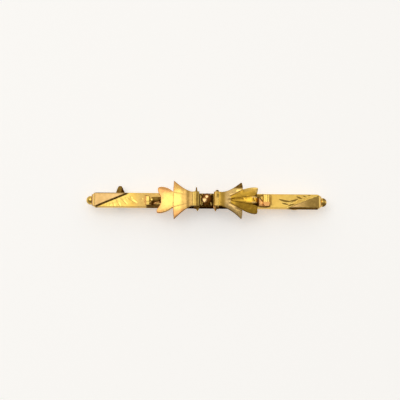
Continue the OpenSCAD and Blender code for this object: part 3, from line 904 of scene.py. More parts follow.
def right_outline():
    """Two spikes, two long petals, and between them a narrow petal that is slit at its end."""
    upper = [*spike_side((7.17, 3.86), (4.95, 1.85), (7.5, 3.7), (7.52, 2.3)),
             *curve((7.6, 2.3), (8.6, 2.72), (9.96, 2.74), 10), (10.5, 2.68), (10.66, 2.58),
             (10.68, 2.3), (10.45, 1.36), (10.1, 0.96), (9.6, 0.92), (9.66, 0.84), (10.2, 0.72),
             (10.52, 0.6), (10.6, 0.4)]
    lower = [*spike_side((7.17, 3.9), (4.95, 1.85), (7.42, 3.7), (7.42, 2.04)),
             *curve((7.5, 2.1), (8.7, 2.78), (9.97, 2.9), 10), (10.4, 2.8), (10.52, 2.64),
             (10.56, 2.3), (10.52, 1.26), (10.1, 1.0), (9.6, 0.92), (9.66, 0.84), (10.2, 0.7),
             (10.5, 0.54), (10.58, 0.36)]
    return flat_outline(upper, lower)


def flat_outline(upper, lower):
    """A whole outline, anticlockwise, from its upper and lower halves."""
    return [(u, -v) for u, v in lower] + list(reversed(upper))


# The cut lines of each fan. Its spikes bend down along the second one
LEFT_CREASES = [
    ((6.9, -1.5), (6.9, 1.5)),
    ((6.78, 1.6), (4.1, 0.98)),
    ((6.78, -1.6), (4.1, -0.98)),
]
RIGHT_CREASES = [
    ((7.6, 0.28), (4.5, 0.0)),
    ((7.4, 2.12), (5.0, 0.8)),
    ((7.34, -1.94), (5.0, -0.8)),
    ((9.5, 0.9), (5.2, 0.2)),
    ((9.5, -0.9), (5.2, -0.22)),
    ((9.72, 0.34), (9.9, -0.2)),
]


def left_relief(u, v):
    """The left fan steps down where its tail begins, and the tail's tips curl down."""
    return -0.03 * ease(6.84, 6.96, u) - 0.06 * ease(8.6, 10.4, u) ** 2


def right_relief(u, v):
    """The right fan's upper petal is turned up at its rim and its upper spike is arched. Its
    narrow petals rise and then curl down."""
    upper_rim = 2.74 - 0.44 * (np.clip(10 - u, 0, None) / 2.4) ** 2
    from_rim = np.clip(upper_rim - v, 0, None)
    turned_up = 0.11 * np.clip(u - 7.8, 0, None) * np.exp(-from_rim / 0.6) * ease(1.2, 1.7, v)
    arch = 0.14 * (u - 6.3) * around(2.1, 0.45, v) * between(5.0, 5.6, 7.5, 7.8, u)
    petal = ease(1.05, 0.75, np.abs(v)) * ease(7.6, 9.0, u)
    return turned_up + arch + petal * (0.3 * ease(8.0, 9.7, u) - 0.36 * ease(9.9, 10.7, u) ** 2)


def left_fan_marks(at, soil):
    """Soil and painted shade, painted highlights (none) and coppery places of the left fan."""
    u, v = at.x, at.y
    upper = v > 0
    tips = ease(8.5, 9.8, u) * np.where(upper, 1, 0.5)
    spikes = ease(1.7, 2.6, np.abs(v)) * ease(7.2, 6.7, u) * np.where(upper, 0.45, 1)
    edges = np.exp(-at.rim / (0.4 + 0.2 * ease(7.0, 7.8, u))) * ease(4.5, 6.0, u)
    edges *= np.where(upper | (u < 7.3), 1, 0.6)
    lobes = ease(0.7, 1.9, np.abs(v)) * ease(7.0, 7.8, u) * np.where(upper, 1, 0.3)
    neck = between(2.6, 3.0, 4.6, 5.8, u)
    copper = 0.9 * tips + 0.75 * spikes + 0.9 * edges + 0.65 * lobes + 0.45 * neck
    # A little painted shade on the tail's lobes
    return np.maximum(soil, 0.08 * lobes), np.zeros_like(u), np.clip(copper, 0, 1)


def right_fan_marks(at, soil):
    """Soil and painted shade, painted highlights and pale places of the right fan."""
    u, v = at.x, at.y
    beyond_petals = np.maximum(np.abs(v) - 0.8 - (u - 5.0) * 0.54, (5.0 - u) * 0.8)
    off_petals = ease(-0.12, 0.12, beyond_petals)
    spikes = off_petals * ease(7.8, 7.4, u) * (0.15 + 0.7 * ease(3.4, 4.2, u))
    upper_rim = np.exp(-at.rim / 0.3) * ease(1.4, 1.9, v) * ease(7.5, 8.2, u)
    lips = around(0.58, 0.14, np.abs(v)) * ease(9.2, 9.6, u)
    spike_tip = ease(2.25, 2.7, v) * between(4.8, 5.6, 7.5, 7.7, u)
    spike_back = around(2.05, 0.4, v) * between(5.2, 5.8, 7.4, 7.6, u) * off_petals
    lower_spike = ease(7.8, 7.4, u) * ease(0.5, 0.7, -v - 0.8 - (u - 5.0) * 0.45)
    lower_petal = ease(-0.3, -0.9, v + (u - 9.5) * 0.12) * ease(5.6, 6.4, u) * (1 - lower_spike)
    upper_petal = ease(0.5, 1.0, v) * ease(5.6, 6.4, u) * (1 - spikes) * (1 - upper_rim)
    # Painted shade on the upper spike's tip and over the petals, the lower petal most
    soil = np.max([soil, 0.92 * spike_tip, 0.6 * lower_petal, 0.25 * upper_petal], axis=0)
    # Painted highlights along the upper petal's rim and down the back of the upper spike
    rubbed = np.maximum(0.8 * upper_rim, 0.6 * spike_back)
    # Paler spikes, with painted highlights on the spike's back, the upper rim and the lips
    pale = np.max([spikes * (1 - 0.5 * spike_tip), spike_back, upper_rim, lips], axis=0)
    return soil, rubbed, pale


# Soil and painted shade in the cut lines above and below, painted shade along the spikes, on the
# edges that face the wearer and on the underside, with how wide the lower spike's is, and bands
# of painted shade round the neck
FanSoilAndShade = namedtuple("FanSoilAndShade", "lines lower_lines spikes facing underside lower_width bands")
Band = namedtuple("Band", "place width soil")
# droop, spike_droop, swell and cut are a fan's shares of the settings for the side droop, spike
# droop, petal crown and depth of the cut lines
Fan = namedtuple("Fan", "name turn outline creases relief marks look droop spike_droop swell cut "
                        "soil")
FANS = [
    Fan("fan_left", -1, left_outline, LEFT_CREASES, left_relief, left_fan_marks, lit_gold,
        1.4, 0.4, 0.25, 0.2,
        FanSoilAndShade(0.25, 0.5, 0.75, 0.25, 0.35, 0.09,
                [Band(3.85, 0.42, 0.5), Band(2.85, 0.2, 0.45), Band(4.85, 0.5, 0.22)])),
    Fan("fan_right", 1, right_outline, RIGHT_CREASES, right_relief, right_fan_marks, shaded_gold,
        1.0, 1.0, 1.0, 1.0,
        FanSoilAndShade(0.75, 0.75, 1.0, 0.9, 0.9, 0.14, [Band(3.5, 0.4, 0.38), Band(4.3, 0.3, 0.1)])),
]


def fan_shell(fan):
    """A fan drawn towards +X with the riser that carries it, and the places of its sheet."""
    outline = fan.outline()
    sheet, edge, wide = mm("sheet"), mm("edge_round"), mm("crease_width")
    widest = max(abs(v) for u, v in outline)
    (far_u, far_v), (near_u, near_v) = fan.creases[1]
    slant = (far_v - near_v) / (far_u - near_u)

    def heights(at):
        u, v = at.x, at.y
        droop = mm("side_droop") * fan.droop * (v / widest) ** 2 * ease(2.5, 5, u)
        beyond = np.clip(np.abs(v) - near_v - (u - near_u) * slant, 0, None) / math.hypot(1, slant)
        spike_droop = mm("spike_droop") * fan.spike_droop * beyond * ease(2.6, 4.4, u)
        middle = FACE + through(NECK, u) - droop - spike_droop + fan.relief(u, v)
        room = np.clip(np.minimum(at.rim, at.line), 0, 1)
        crown = mm("petal_crown") * fan.swell * (1 - (1 - room) ** 2) * ease(3.2, 5.0, u)
        cut = mm("crease_depth") * fan.cut * np.clip(1 - 2 * at.line / wide, 0, 1)
        top = middle + sheet / 2 + crown - cut - rounded_drop(at.rim, edge)
        return top, middle - sheet / 2

    shell, at = cut_sheet(outline, 0.13, heights, fan.creases, wide, edge)
    # The riser reaches just into the neck's sheet
    top = FACE + NECK[0][1] - sheet / 2 + 0.02
    riser = block((1.52, -0.8, FACE), (3.0, 0.8, top), edge=0.06)
    return together(shell, riser), at


def fan_soil_and_shade(share, at):
    """The soil and painted shade that both fans have, each in its own measure."""
    u, v = at.x, at.y
    lines = around(0, 0.06, at.line) * np.where(v < -0.6, share.lower_lines, share.lines)
    spikes = around(0, np.where(v < 0, share.lower_width, 0.09), at.rim)
    spikes *= share.spikes * between(2.6, 3.4, 6.6, 7.0, u)
    facing = share.facing * around(0, 0.09, at.rim) * ease(0, -1, v)
    bands = sum(band.soil * around(band.place, band.width, u) for band in share.bands)
    bands = (bands + 0.05 * np.sin(u * 37)) * ease(2.2, 2.5, u)
    # Painted shade also covers the neck's inner end by the collar
    return np.max([lines, spikes, facing, bands, 0.8 * ease(1.8, 1.6, u)], axis=0)


def make_fan(fan):
    """Makes one fan. Its marks go over its top, its underside and its riser, in that order."""
    shell, at = fan_shell(fan)
    soil, rubbed, blush = fan.marks(at, fan_soil_and_shade(fan.soil, at))
    riser = np.zeros(len(shell[0]) - 2 * len(soil))
    # The underside and the riser are painted in shade
    make_piece(fan.name, shell if fan.turn > 0 else mirrored(shell), fan.look,
               soil=np.concatenate([soil, np.full_like(soil, fan.soil.underside), riser + 0.9]),
               rubbed=np.concatenate([rubbed, 0 * rubbed, riser]),
               blush=np.concatenate([blush, blush, riser]))


def softened(knees, radii):
    """An open path through the given knees, each turned in a curve of its own radius."""
    pts = np.array(knees, float)
    path = [pts[0]]
    for before, here, after, radius in zip(pts, pts[1:], pts[2:], radii):
        back, on = before - here, after - here
        start = here + back / np.linalg.norm(back) * radius
        stop = here + on / np.linalg.norm(on) * radius
        path.extend(curve(start, here * 0.9 + (start + stop) / 2 * 0.1, stop, 9))
    return spaced(np.array([*path, pts[-1]]), 0.07)


def spaced(path, step):
    """The same path with points at even steps."""
    run = np.concatenate([[0], np.cumsum(np.linalg.norm(np.diff(path, axis=0), axis=1))])
    ticks = np.linspace(0, run[-1], max(2, round(run[-1] / step)))
    return np.column_stack([np.interp(ticks, run, path[:, k]) for k in range(2)])


# roll is the length of the flattened roll and height its height. The flat part is flat wide to
# each side of the bar's middle line, and the roll reaches above and below that line. rounding is
# how far from the roll's corners their curves start, and fold gives the two ends of the fold in
# the flat part
Ribbon = namedtuple("Ribbon", "node roll height flat above below rounding fold")
LEFT_RIBBON = Ribbon("ribbon_end_left", 1.1, 1.35, 0.62, 0.5, 1.12, 0.34,
                     ((9.9, -0.32), (12.3, -0.95)))
RIGHT_RIBBON = Ribbon("ribbon_end_right", 1.6, 1.55, 0.71, 1.02, 1.15, 0.42,
                      ((11.1, 0.5), (11.9, -0.4)))


def ribbon_shell(ribbon):
    """A ribbon that comes out under a fan and rolls back over itself, drawn towards +X. The
    roll has two flutes, and its lower end closes in like a shell. With it come its painted
    shade, its blush with painted highlights and how far each point belongs to the roll."""
    low, high = corners(ribbon.node)
    left = high[0] < 0
    start, reach = (-high[0], -low[0]) if left else (low[0], high[0])
    thick = mm("ribbon_thick")
    mid, inner = thick / 2, thick * 1.5 + 0.08
    rise = reach - ribbon.roll
    path = softened([(start, mid), (reach - mid, mid), (reach - mid, ribbon.height - mid),
                     (rise + mid, ribbon.height - mid), (rise + mid, inner),
                     (reach - inner, inner)], np.array([1, 1, 1, 0.7]) * ribbon.rounding)
    on_top = path[:, 1] > ribbon.height - thick
    for share in (0.36, 0.66):
        path[:, 1] -= 0.06 * around(reach - ribbon.roll * share, 0.09, path[:, 0]) * on_top
    upper = ribbon.flat + (ribbon.above - ribbon.flat) * ease(rise - 0.9, rise + 0.2, path[:, 0])
    lower = ribbon.flat + (ribbon.below - ribbon.flat) * ease(rise - 1.6, rise - 0.5, path[:, 0])
    points, faces = bent_strap(path, normals_of(path), np.column_stack([-lower, upper]), thick,
                               edge=0.05, count=26)
    x, y, z = points.T.copy()
    closing = 0.74 * np.clip((-y - ribbon.below + 0.55) / 0.55, 0, 1) ** 1.25
    rolled = ease(rise - 0.5, rise + 0.1, x)
    pivot = reach - 0.5
    points[:, 0] = pivot + (x - pivot) * (1 - 0.65 * closing * rolled)
    points[:, 2] = FACE + z * (1 - closing * rolled)
    hidden = np.repeat(np.arange(len(path)) > len(path) - 11, len(points) // len(path))
    first, last = np.array(ribbon.fold)
    run = last - first
    from_fold = distance(np.column_stack([x, y]), first[None], last[None])
    past_fold = (x - first[0]) * run[1] - (y - first[1]) * run[0]
    flat = z < thick + 0.02
    # Painted shade in the hidden inner turns and a painted shadow along the fold
    soil = np.maximum(0.85 * hidden, 1.2 * flat * around(0, 0.12, from_fold))
    # Blush paints a pink highlight on the closed lower end and on the flat part past the fold
    blush = np.maximum(np.clip((-y - ribbon.below + 0.75) / 0.3, 0, 1),
                       flat * ease(0, 0.1, past_fold))
    shell = (points, faces)
    return (mirrored(shell) if left else shell), soil, blush, rolled


def left_ribbon_marks(shell, soil, blush, rolled):
    """Painted shade, painted highlights and blush of the left ribbon."""
    x, y, _ = shell[0].T
    shaded = (0.7 + 0.3 * ease(0.3, -0.4, y) + 0.25 * ease(-10.4, -9.6, x)
              + 0.15 * ease(-10.9, -11.1, x) * ease(-0.2, -0.5, y))
    # The leaf below the fold keeps its painted highlight and loses most painted shade
    leaf = between(-11.0, -10.65, -9.9, -9.7, x) * blush
    shaded = np.clip(shaded, 0, 1.15) * (1 - rolled) * (1 - 0.85 * leaf)
    # A painted highlight down the roll
    rubbed = 0.8 * rolled * between(-12.5, -12.35, -12.0, -11.8, x)
    outer_side = rolled * ease(-12.35, -12.55, x)
    return np.maximum(soil, shaded), rubbed, np.maximum(blush * (1 - rolled), outer_side)


def right_ribbon_soil_and_shade(shell, soil, blush, rolled):
    """Painted shade of the right ribbon: darkest where it comes out under the fan."""
    x, y, _ = shell[0].T
    inward = ease(11.1, 10.7, x)
    shaded = 0.55 + 0.5 * inward + 0.3 * inward * ease(0.45, 0.65, np.abs(y))
    return np.maximum(soil, shaded * (1 - rolled) * (1 - 0.6 * blush * (1 - inward)))


def bead_shell():
    """The bead on the left ribbon, in front of its roll."""
    profile = [(0, 0.3), (0.4, 0.3), (0.5, 0.27), (0.55, 0.2), (0.57, 0.13)]
    return turned(profile, (-11.35, -0.1, FACE + 0.1), (0, 0, 1), sides=24)


def collar_shell(node):
    """A domed strap round the bar and the neck of a fan."""
    low, high = corners(node)
    middle = (low[0] + high[0]) / 2
    wall, half_strap, bend, clear, lip = 0.13, 0.45, 0.12, 0.02, 0.02
    inner_y = HALF_WIDTH + clear
    inner_low, inner_high = low[2] + 0.28, high[2] - 0.36
    centres = [(inner_y - bend, inner_high - bend, 0), (bend - inner_y, inner_high - bend, 90),
               (bend - inner_y, inner_low + bend, 180), (inner_y - bend, inner_low + bend, 270)]
    path = []
    for (y, z, first), (next_y, next_z, _) in zip(centres, centres[1:] + centres[:1]):
        path.extend((y, z, math.radians(first + a)) for a in np.linspace(0, 90, 9))
        path.extend((y + (next_y - y) * t, z + (next_z - z) * t, math.radians(first + 90))
                    for t in np.linspace(0, 1, 10)[1:-1])
    lane = np.linspace(-1, 1, 25)
    dome = wall - 0.09 * lane ** 2
    section = [*zip(lane * half_strap, dome), (half_strap, lip), (half_strap - lip, 0.0),
               (lip - half_strap, 0.0), (-half_strap, lip)]
    rings = []
    for y, z, a in path:
        # The strap is thinner down its sides than over its top
        thin = 1 - 0.6 * math.cos(a) ** 2
        rings.append([(middle + x, y + (bend + out * thin) * math.cos(a),
                       z + (bend + out * thin) * math.sin(a)) for x, out in section])
    return loft(rings, loop=True)


# side tells the point above the bar from the one below it, away is how far it is from the
# brooch's middle, root and tip are its radii, and hollow is how far its flank curves in
Point = namedtuple("Point", "collar side away reach root tip hollow")
POINTS = [
    Point("collar_left", 1, 2.1, 2.62, 0.34, 0.13, 1.5),
    Point("collar_left", -1, 1.85, 2.5, 0.56, 0.13, 0.85),
    Point("collar_right", 1, 2.2, 2.08, 0.5, 0.4, 1.0),
    Point("collar_right", -1, 1.85, 2.5, 0.52, 0.13, 0.85),
]


def point_shell(point):
    """A thorn or a bud on the side of a collar: a cone with a hollow flank and a round tip."""
    base, rise = 1.35, 0.75
    reach = point.reach - base
    cone = [(t * (reach - point.tip),
             point.tip + (point.root - point.tip) * (1 - t) ** point.hollow)
            for t in np.linspace(0, 1, 12)]
    cap = [(reach - point.tip + point.tip * math.sin(a), point.tip * math.cos(a))
           for a in np.radians(np.linspace(15, 86, 7))]
    sign = -1 if point.collar == "collar_left" else 1
    origin = (sign * point.away, base * point.side, FACE + rise)
    return turned(cone + cap, origin, (0, point.side, 0), sides=28)


# The stone is a little longer across the bar. Its six crown facets reach out to a share of its
# radius and drop that far from its point, and the first of them points to CROWN_TURN. Two carry
# a painted highlight, given as (turn in degrees, reach of the painted highlight)
STONE_RADIUS, STONE_LONGER = 1.12, 1.12
CROWN_TURN, CROWN_SHARE, CROWN_DROP = 25.0, 0.78, 0.22
STONE_LIGHTS = ((CROWN_TURN + 180, 0.62), (CROWN_TURN + 60, 0.42))
# How far the collet stands over the stone's lowest point
COLLET_RISE = 0.45


def setting_shell():
    """Base plate and collet of the stone's setting."""
    low, high = corners("setting")
    edge, plate_top, collet_top = 0.06, FACE + 0.22, corners("stone")[0][2] + COLLET_RISE
    plate, _ = cut_sheet([(low[0], low[1]), (high[0], low[1]), (high[0], high[1]),
                          (low[0], high[1])], 0.12, lambda at: (
        plate_top - rounded_drop(at.rim, edge), np.full_like(at.x, FACE)), edge=edge)
    bore = STONE_RADIUS * 0.76
    outer, longer = bore + 0.3, 1.16
    profile = [(bore, FACE + 0.2), (bore, collet_top - 0.1), (bore + 0.06, collet_top),
               (outer - 0.05, collet_top), (outer, collet_top - 0.05), (outer, collet_top - 0.12),
               (outer - 0.1, collet_top - 0.3), (outer - 0.02, FACE + 0.26), (outer, FACE + 0.2)]
    collet = loft([[(r * math.cos(a), r * math.sin(a) * longer, z) for a in round_turns(64)]
                   for r, z in profile], loop=True)
    return together(plate, collet)


def claw_shell():
    """One claw, drawn at +X: up beside the collet and over the edge of the stone."""
    radius = mm("claw_d") / 2
    out = STONE_RADIUS + radius + 0.13
    tip, collet_top = corners("setting")[1][2], corners("stone")[0][2] + COLLET_RISE
    path = [(out, FACE + 0.1), (out, FACE + 0.5), (out + 0.02, collet_top),
            (out - 0.02, tip - 0.45), (out - 0.08, tip - 0.25), (out - 0.2, tip - 0.13),
            (out - 0.34, tip - 0.1)]
    widths = [1.1, 1.0, 0.95, 0.95, 0.95, 0.8, 0.45]
    return loft([[(x + rz * radius * w * math.cos(a), radius * w * math.sin(a),
                   z - rx * radius * w * math.cos(a)) for a in round_turns(20)]
                 for (x, z), (rx, rz), w in zip(path, headings(path), widths)])


def crown_facet(turn):
    """Normal and middle of the crown facet that points to turn."""
    point = np.array((0, 0, corners("stone")[1][2]))
    rim = STONE_RADIUS * CROWN_SHARE
    a, b = (np.array((rim * math.cos(t), rim * math.sin(t) * STONE_LONGER, -CROWN_DROP))
            for t in (math.radians(turn + k) for k in (-30, 30)))
    across = np.cross(a, b)
    return across / np.linalg.norm(across), point + (a + b) / 3.4


def stone_shell():
    """A rose-cut stone: a low point of six facets, a steeper row below them, the girdle and
    the back."""
    low, high = corners("stone")
    girdle = high[2] - 0.5
    rings = [(0.0, 1, high[2], 0), (CROWN_SHARE, 6, high[2] - CROWN_DROP, CROWN_TURN + 30),
             (1.0, 12, girdle + 0.05, 0), (1.0, 12, girdle, 0), (0.6, 6, girdle - 0.3, 30),
             (0.1, 6, low[2] + 0.02, 0)]
    made = bmesh.new()
    for share, count, z, turn in rings:
        for i in range(count):
            a = math.radians(turn + 360 / count * i)
            x, y = (STONE_RADIUS * share * k for k in (math.cos(a), math.sin(a)))
            made.verts.new((x, y * STONE_LONGER, z))
    hull = bmesh.ops.convex_hull(made, input=made.verts)
    bmesh.ops.delete(made, geom=hull["geom_interior"], context="VERTS")
    return taken_from(made)


def catch_shell():
    """A strap bent into a C, closed beyond the bar's upper edge, with a lip at its mouth."""
    low, high = corners("catch")
    middle, half = (low[0] + high[0]) / 2, (high[0] - low[0]) / 2
    thick, radius = 0.35, high[2] / 2
    mouth, lip_run, lip_rise, lean = low[1], 0.6, 0.09, 0.15
    tip = high[1] - 0.12
    bend, inner = tip - radius, radius - thick / 2
    arc = [(bend + inner * math.cos(a), radius + inner * math.sin(a))
           for a in np.radians(np.linspace(-90, 90, 30))]
    lower = [(y, thick / 2 + lip_rise * ease(mouth + lip_run, mouth, y))
             for y in np.linspace(mouth, bend, 18)[:-1]]
    upper = [(y, high[2] - thick / 2) for y in np.linspace(bend, mouth, 14)[1:]]
    path = np.array(lower + arc + upper)
    beyond = np.clip((path[:, 0] - HALF_WIDTH) / (tip - HALF_WIDTH), 0, 0.975)
    side = half * np.minimum(1, 1.15 * (1 - beyond) ** 0.65)
    ends = [(middle - lean * b - s, middle - lean * b + s) for s, b in zip(side, beyond)]
    return bent_strap(path, normals_of(path), ends, thick, edge=0.06, count=12, swap=True)


# The diameter of the pin's wire, the height of its middle over the floor, and how far its hinge's
# axis lies from the end of the hinge's foot
PIN_D, PIN_Z, HINGE_INSET = 0.7, 0.78, 1.4


def hinge_shell():
    """The hinge block of the pin: a foot on the bar's back and a barrel across."""
    _, high = corners("pin")
    axis, half, edge, foot_thick = high[0] - HINGE_INSET, high[1], 0.06, 0.3
    foot = block((axis - HINGE_INSET, -half, high[2] - foot_thick), high, edge=0.05)
    web = block((axis - PIN_Z, -half, PIN_Z), (axis + PIN_Z, half, high[2] - 0.1), edge=0.04)
    end = [(0, PIN_Z - edge), (edge * 0.3, PIN_Z - edge * 0.3), (edge, PIN_Z)]
    profile = end + [(2 * half - along, r) for along, r in reversed(end)]
    barrel = turned(profile, (axis, -half, PIN_Z), (0, 1, 0), sides=64)
    return together(foot, web, barrel)


# Painted shade on the bar, as smooth patches: x and y each give where a patch starts, is full,
# starts to fade and ends. BEYOND stands for past the bar's end or edge
Patch = namedtuple("Patch", "place soil x y")
BEYOND = 99.0
BAR_PATCHES = [
    Patch("front wall, right", 1.0, (16.4, 17.6, BEYOND, BEYOND + 1),
          (-BEYOND - 1, -BEYOND, -HALF_WIDTH, 0.12 - HALF_WIDTH)),
    Patch("upper gap of the right fan", 1.4, (9.2, 9.6, 10.35, 10.5), (0.5, 0.7, 1.1, 1.35)),
    Patch("lower gap of the right fan", 1.4, (9.2, 9.6, 10.6, 10.75), (-1.35, -1.1, -0.7, -0.5)),
    Patch("under the right ribbon's roll", 0.6, (10.2, 10.6, 11.6, 12.0), (0, 0.5, 1.2, 1.4)),
    Patch("along the left ribbon", 0.135, (-12.8, -12.2, -9.6, -8.9),
          (-BEYOND - 1, -BEYOND, BEYOND, BEYOND + 1)),
    Patch("above the left plate", 0.7, (-23.5, -23.3, -19.2, -18.2),
          (1.38, 1.44, BEYOND, BEYOND + 1)),
    Patch("left end", 0.17, (-BEYOND - 1, -BEYOND, -23.5, -23.4),
          (-BEYOND - 1, -BEYOND, BEYOND, BEYOND + 1)),
]
# A painted shadow also lies along the edge of the right ribbon
RIBBON_SHADOW_LINE = [(10.3, -1.05), (11.2, -1.24), (12.3, -1.3), (13.05, -1.16), (13.3, -0.8),
               (13.3, 1.15), (11.6, 1.25)]


def bar_soil_and_shade(x, y, dark, bright):
    """Soil and painted shade on the bar. dark and bright are its engraving's painted shade and
    painted highlight.
    """
    (start_x, start_y), (run_x, run_y) = milled_edge(PLATES[0])
    from_edge = ((x - start_x) * run_y - (y - start_y) * run_x) / math.hypot(run_x, run_y)
    # A painted shadow along the left plate's milled edge
    groove = around(0.12, 0.1, from_edge) * ease(-16.0, -16.4, x)
    # Painted shadow on the bar under the necks, blackest towards its lower edge
    under_necks = between(-4.6, -4.0, 5.4, 6.2, x) * (0.7 + 1.1 * ease(-0.8, -1.3, y))
    under_necks *= 1 - 0.4 * ease(0.45, 0.15, np.abs(np.abs(x) - 1.5)) * ease(-1.3, -1.1, y)
    # Painted shade on the bar by the left ribbon and along the top of its roll
    by_left_ribbon = between(-12.8, -12.2, -9.6, -8.9, x) * (0.15 + 0.85 * ease(-0.7, -1.05, y))
    over_roll = around(0.93, 0.08, y) * between(-12.95, -12.75, -12.3, -12.0, x)
    # A painted shadow along the right ribbon's edge, fainter past its roll
    path = np.array(RIBBON_SHADOW_LINE)
    from_ribbon = distance(np.column_stack([x, y]), path[:-1], path[1:])
    beyond_roll = ease(13.0, 13.2, x) * ease(-1.1, -0.8, y)
    by_right_ribbon = around(0, 0.13 - 0.04 * beyond_roll, from_ribbon) * (1.05 - 0.4 * beyond_roll)
    # The face is painted darker to the right and by the left ribbon, but not on the cuts'
    # painted highlights
    dull = 0.04 + 0.08 * ease(15, 18, x) + 0.12 * ease(-15.5, -13.5, x) * (x < 0)
    dull = dull * (1 - bright) * ease(23.5, 23.4, np.abs(x))
    patches = [p.soil * between(*p.x, x) * between(*p.y, y) for p in BAR_PATCHES]
    return np.max([*patches, 0.68 * dark, under_necks, dull, by_right_ribbon, 0.9 * groove,
                   0.9 * by_left_ribbon, 0.7 * over_roll], axis=0)


# Operators: one for each piece or group of like pieces, and one for the stage

class BROOCH_OT_bar(bpy.types.Operator):
    """Make the engraved bar"""
    bl_idname = "brooch.bar"
    bl_label = "Bar"

    def execute(self, context):
        shell, cuts = bar_shell()
        x, y, z = shell[0].T
        dark, bright = cuts.T
        # Painted highlights: the engraving's, along the upper edge, at the right end and by the
        # fern
        top_edge = ease(1.38, 1.44, y) * ease(FACE - 0.14, FACE - 0.1, z)
        by_fern = between(-22.5, -21.0, -16.5, -15.0, x)
        rubbed = np.max([bright, 0.45 * ease(23.4, 23.5, x), 0.6 * top_edge, 0.35 * by_fern],
                        axis=0)
        pinker = np.maximum(ease(23.4, 23.5, np.abs(x)), 0.3 * ease(-15.5, -13.5, x) * (x < 0))
        make_piece("bar", shell, bloomed_gold, sharp=30.0, soil=bar_soil_and_shade(x, y, dark, bright),
                   rubbed=rubbed, blush=pinker)
        return {"FINISHED"}


class BROOCH_OT_ball_ends(bpy.types.Operator):
    """Make the balls at both ends of the bar"""
    bl_idname = "brooch.ball_ends"
    bl_label = "Ball Ends"

    def execute(self, context):
        right = ball_end_shell()
        for name, shell, dull in (("ball_end_right", right, 0.8),
                                  ("ball_end_left", mirrored(right), 0.25)):
            x, y, _ = shell[0].T
            # Painted shade above and below the ball's middle band, more on the right ball
            soil = dull * ease(0.05, 0.4, np.abs(y + 0.05)) * ease(24.0, 24.2, np.abs(x))
            make_piece(name, shell, polished_gold, soil=soil)
        return {"FINISHED"}


class BROOCH_OT_corner_plates(bpy.types.Operator):
    """Make the rose gold corner plates and their milled edges"""
    bl_idname = "brooch.corner_plates"
    bl_label = "Corner Plates"

    def execute(self, context):
        tree = grain_row_tree()
        pitch, grain_d = mm("grain_pitch"), mm("grain_d")
        for plate in PLATES:
            (points, faces), soil, blush = corner_plate_shell(plate)
            make_piece("corner_plate_" + plate.name, (points * (plate.turn, plate.turn, 1), faces),
                       satin_rose_gold, "rose_gold", soil=soil, blush=blush)
            start, run = milled_edge(plate)
            long = np.linalg.norm(run)
            count = int((long - plate.bare) / pitch) + 1
            step = run / long * pitch
            first = start + run / 2 - step * (count - 1) / 2
            middle_z = FACE + grain_d / 2 * plate.squash
            values = {"Start": Vector((*first * plate.turn, middle_z)) * MM,
                      "Step": Vector((*step * plate.turn, 0)) * MM, "Count": count,
                      "Diameter": grain_d * MM, "Height share": plate.squash,
                      "Soil": plate.soil, "Material": finish(lit_gold)}
            grow("milled_edge_" + plate.name, tree, values)
        return {"FINISHED"}


class BROOCH_OT_fans(bpy.types.Operator):
    """Make the two leaf fans"""
    bl_idname = "brooch.fans"
    bl_label = "Fans"

    def execute(self, context):
        for fan in FANS:
            make_fan(fan)
        return {"FINISHED"}


class BROOCH_OT_ribbon_ends(bpy.types.Operator):
    """Make the two rolled ribbon ends"""
    bl_idname = "brooch.ribbon_ends"
    bl_label = "Ribbon Ends"

    def execute(self, context):
        made = ribbon_shell(LEFT_RIBBON)
        soil, rubbed, blush = left_ribbon_marks(*made)
        bead = bead_shell()
        clean = np.zeros(len(bead[0]))
        # The bead gets a painted highlight
        make_piece(LEFT_RIBBON.node, together(made[0], bead), polished_gold,
                   soil=np.concatenate([soil, clean]), rubbed=np.concatenate([rubbed, clean + 0.7]),
                   blush=np.concatenate([blush, clean]))
        made = ribbon_shell(RIGHT_RIBBON)
        make_piece(RIGHT_RIBBON.node, made[0], polished_gold, soil=right_ribbon_soil_and_shade(*made),
                   blush=made[2])
        return {"FINISHED"}


class BROOCH_OT_collars(bpy.types.Operator):
    """Make the two collars with their points"""
    bl_idname = "brooch.collars"
    bl_label = "Collars"

    def execute(self, context):
        for name in ("collar_left", "collar_right"):
            shells = [point_shell(p) for p in POINTS if p.collar == name]
            shell = together(collar_shell(name), *shells)
            x, y, z = shell[0].T
            on_strap = np.arange(len(x)) < len(x) - sum(len(p[0]) for p in shells)
            # Painted shade lower down the strap's sides
            sides = on_strap * ease(FACE + 1.6, FACE + 1.3, z)
            if name == "collar_left":
                # Painted shade on the right half of the left strap, turned from the light
                strap = 0.27 + 0.36 * ease(-0.2, 0.1, x - x[on_strap].mean())
                # Painted shade on the left collar's points, less near the lower one's tip
                points = np.where(y > 0, 0.75, 0.9 - 0.65 * ease(-2.1, -2.3, y))
                pinker = np.zeros_like(x)
            else:
                # A patch of painted shade on the right strap, above the bar's middle line, on its
                # outer part
                blotch = 0.5 * around(0.7, 0.35, y) * ease(1.9, 2.2, x)
                strap = 0.28 - 0.22 * ease(2.1, 2.4, x) + blotch
                # Painted shade on the right collar's points, growing outwards
                points = np.where(y > 0, 0.65 + 0.5 * ease(2.1, 2.3, x), ease(1.86, 2.0, x))
                # Painted pink highlights on the inner side of the lower point and on the strap's
                # inner edge
                pinker = np.maximum(0.8 * (~on_strap & (y < 0)) * ease(2.0, 1.86, x),
                                    0.7 * on_strap * ease(1.9, 1.75, x))
            soil = np.maximum(sides, np.where(on_strap, strap, points))
            make_piece(name, shell, polished_gold, soil=soil, blush=pinker)
        return {"FINISHED"}


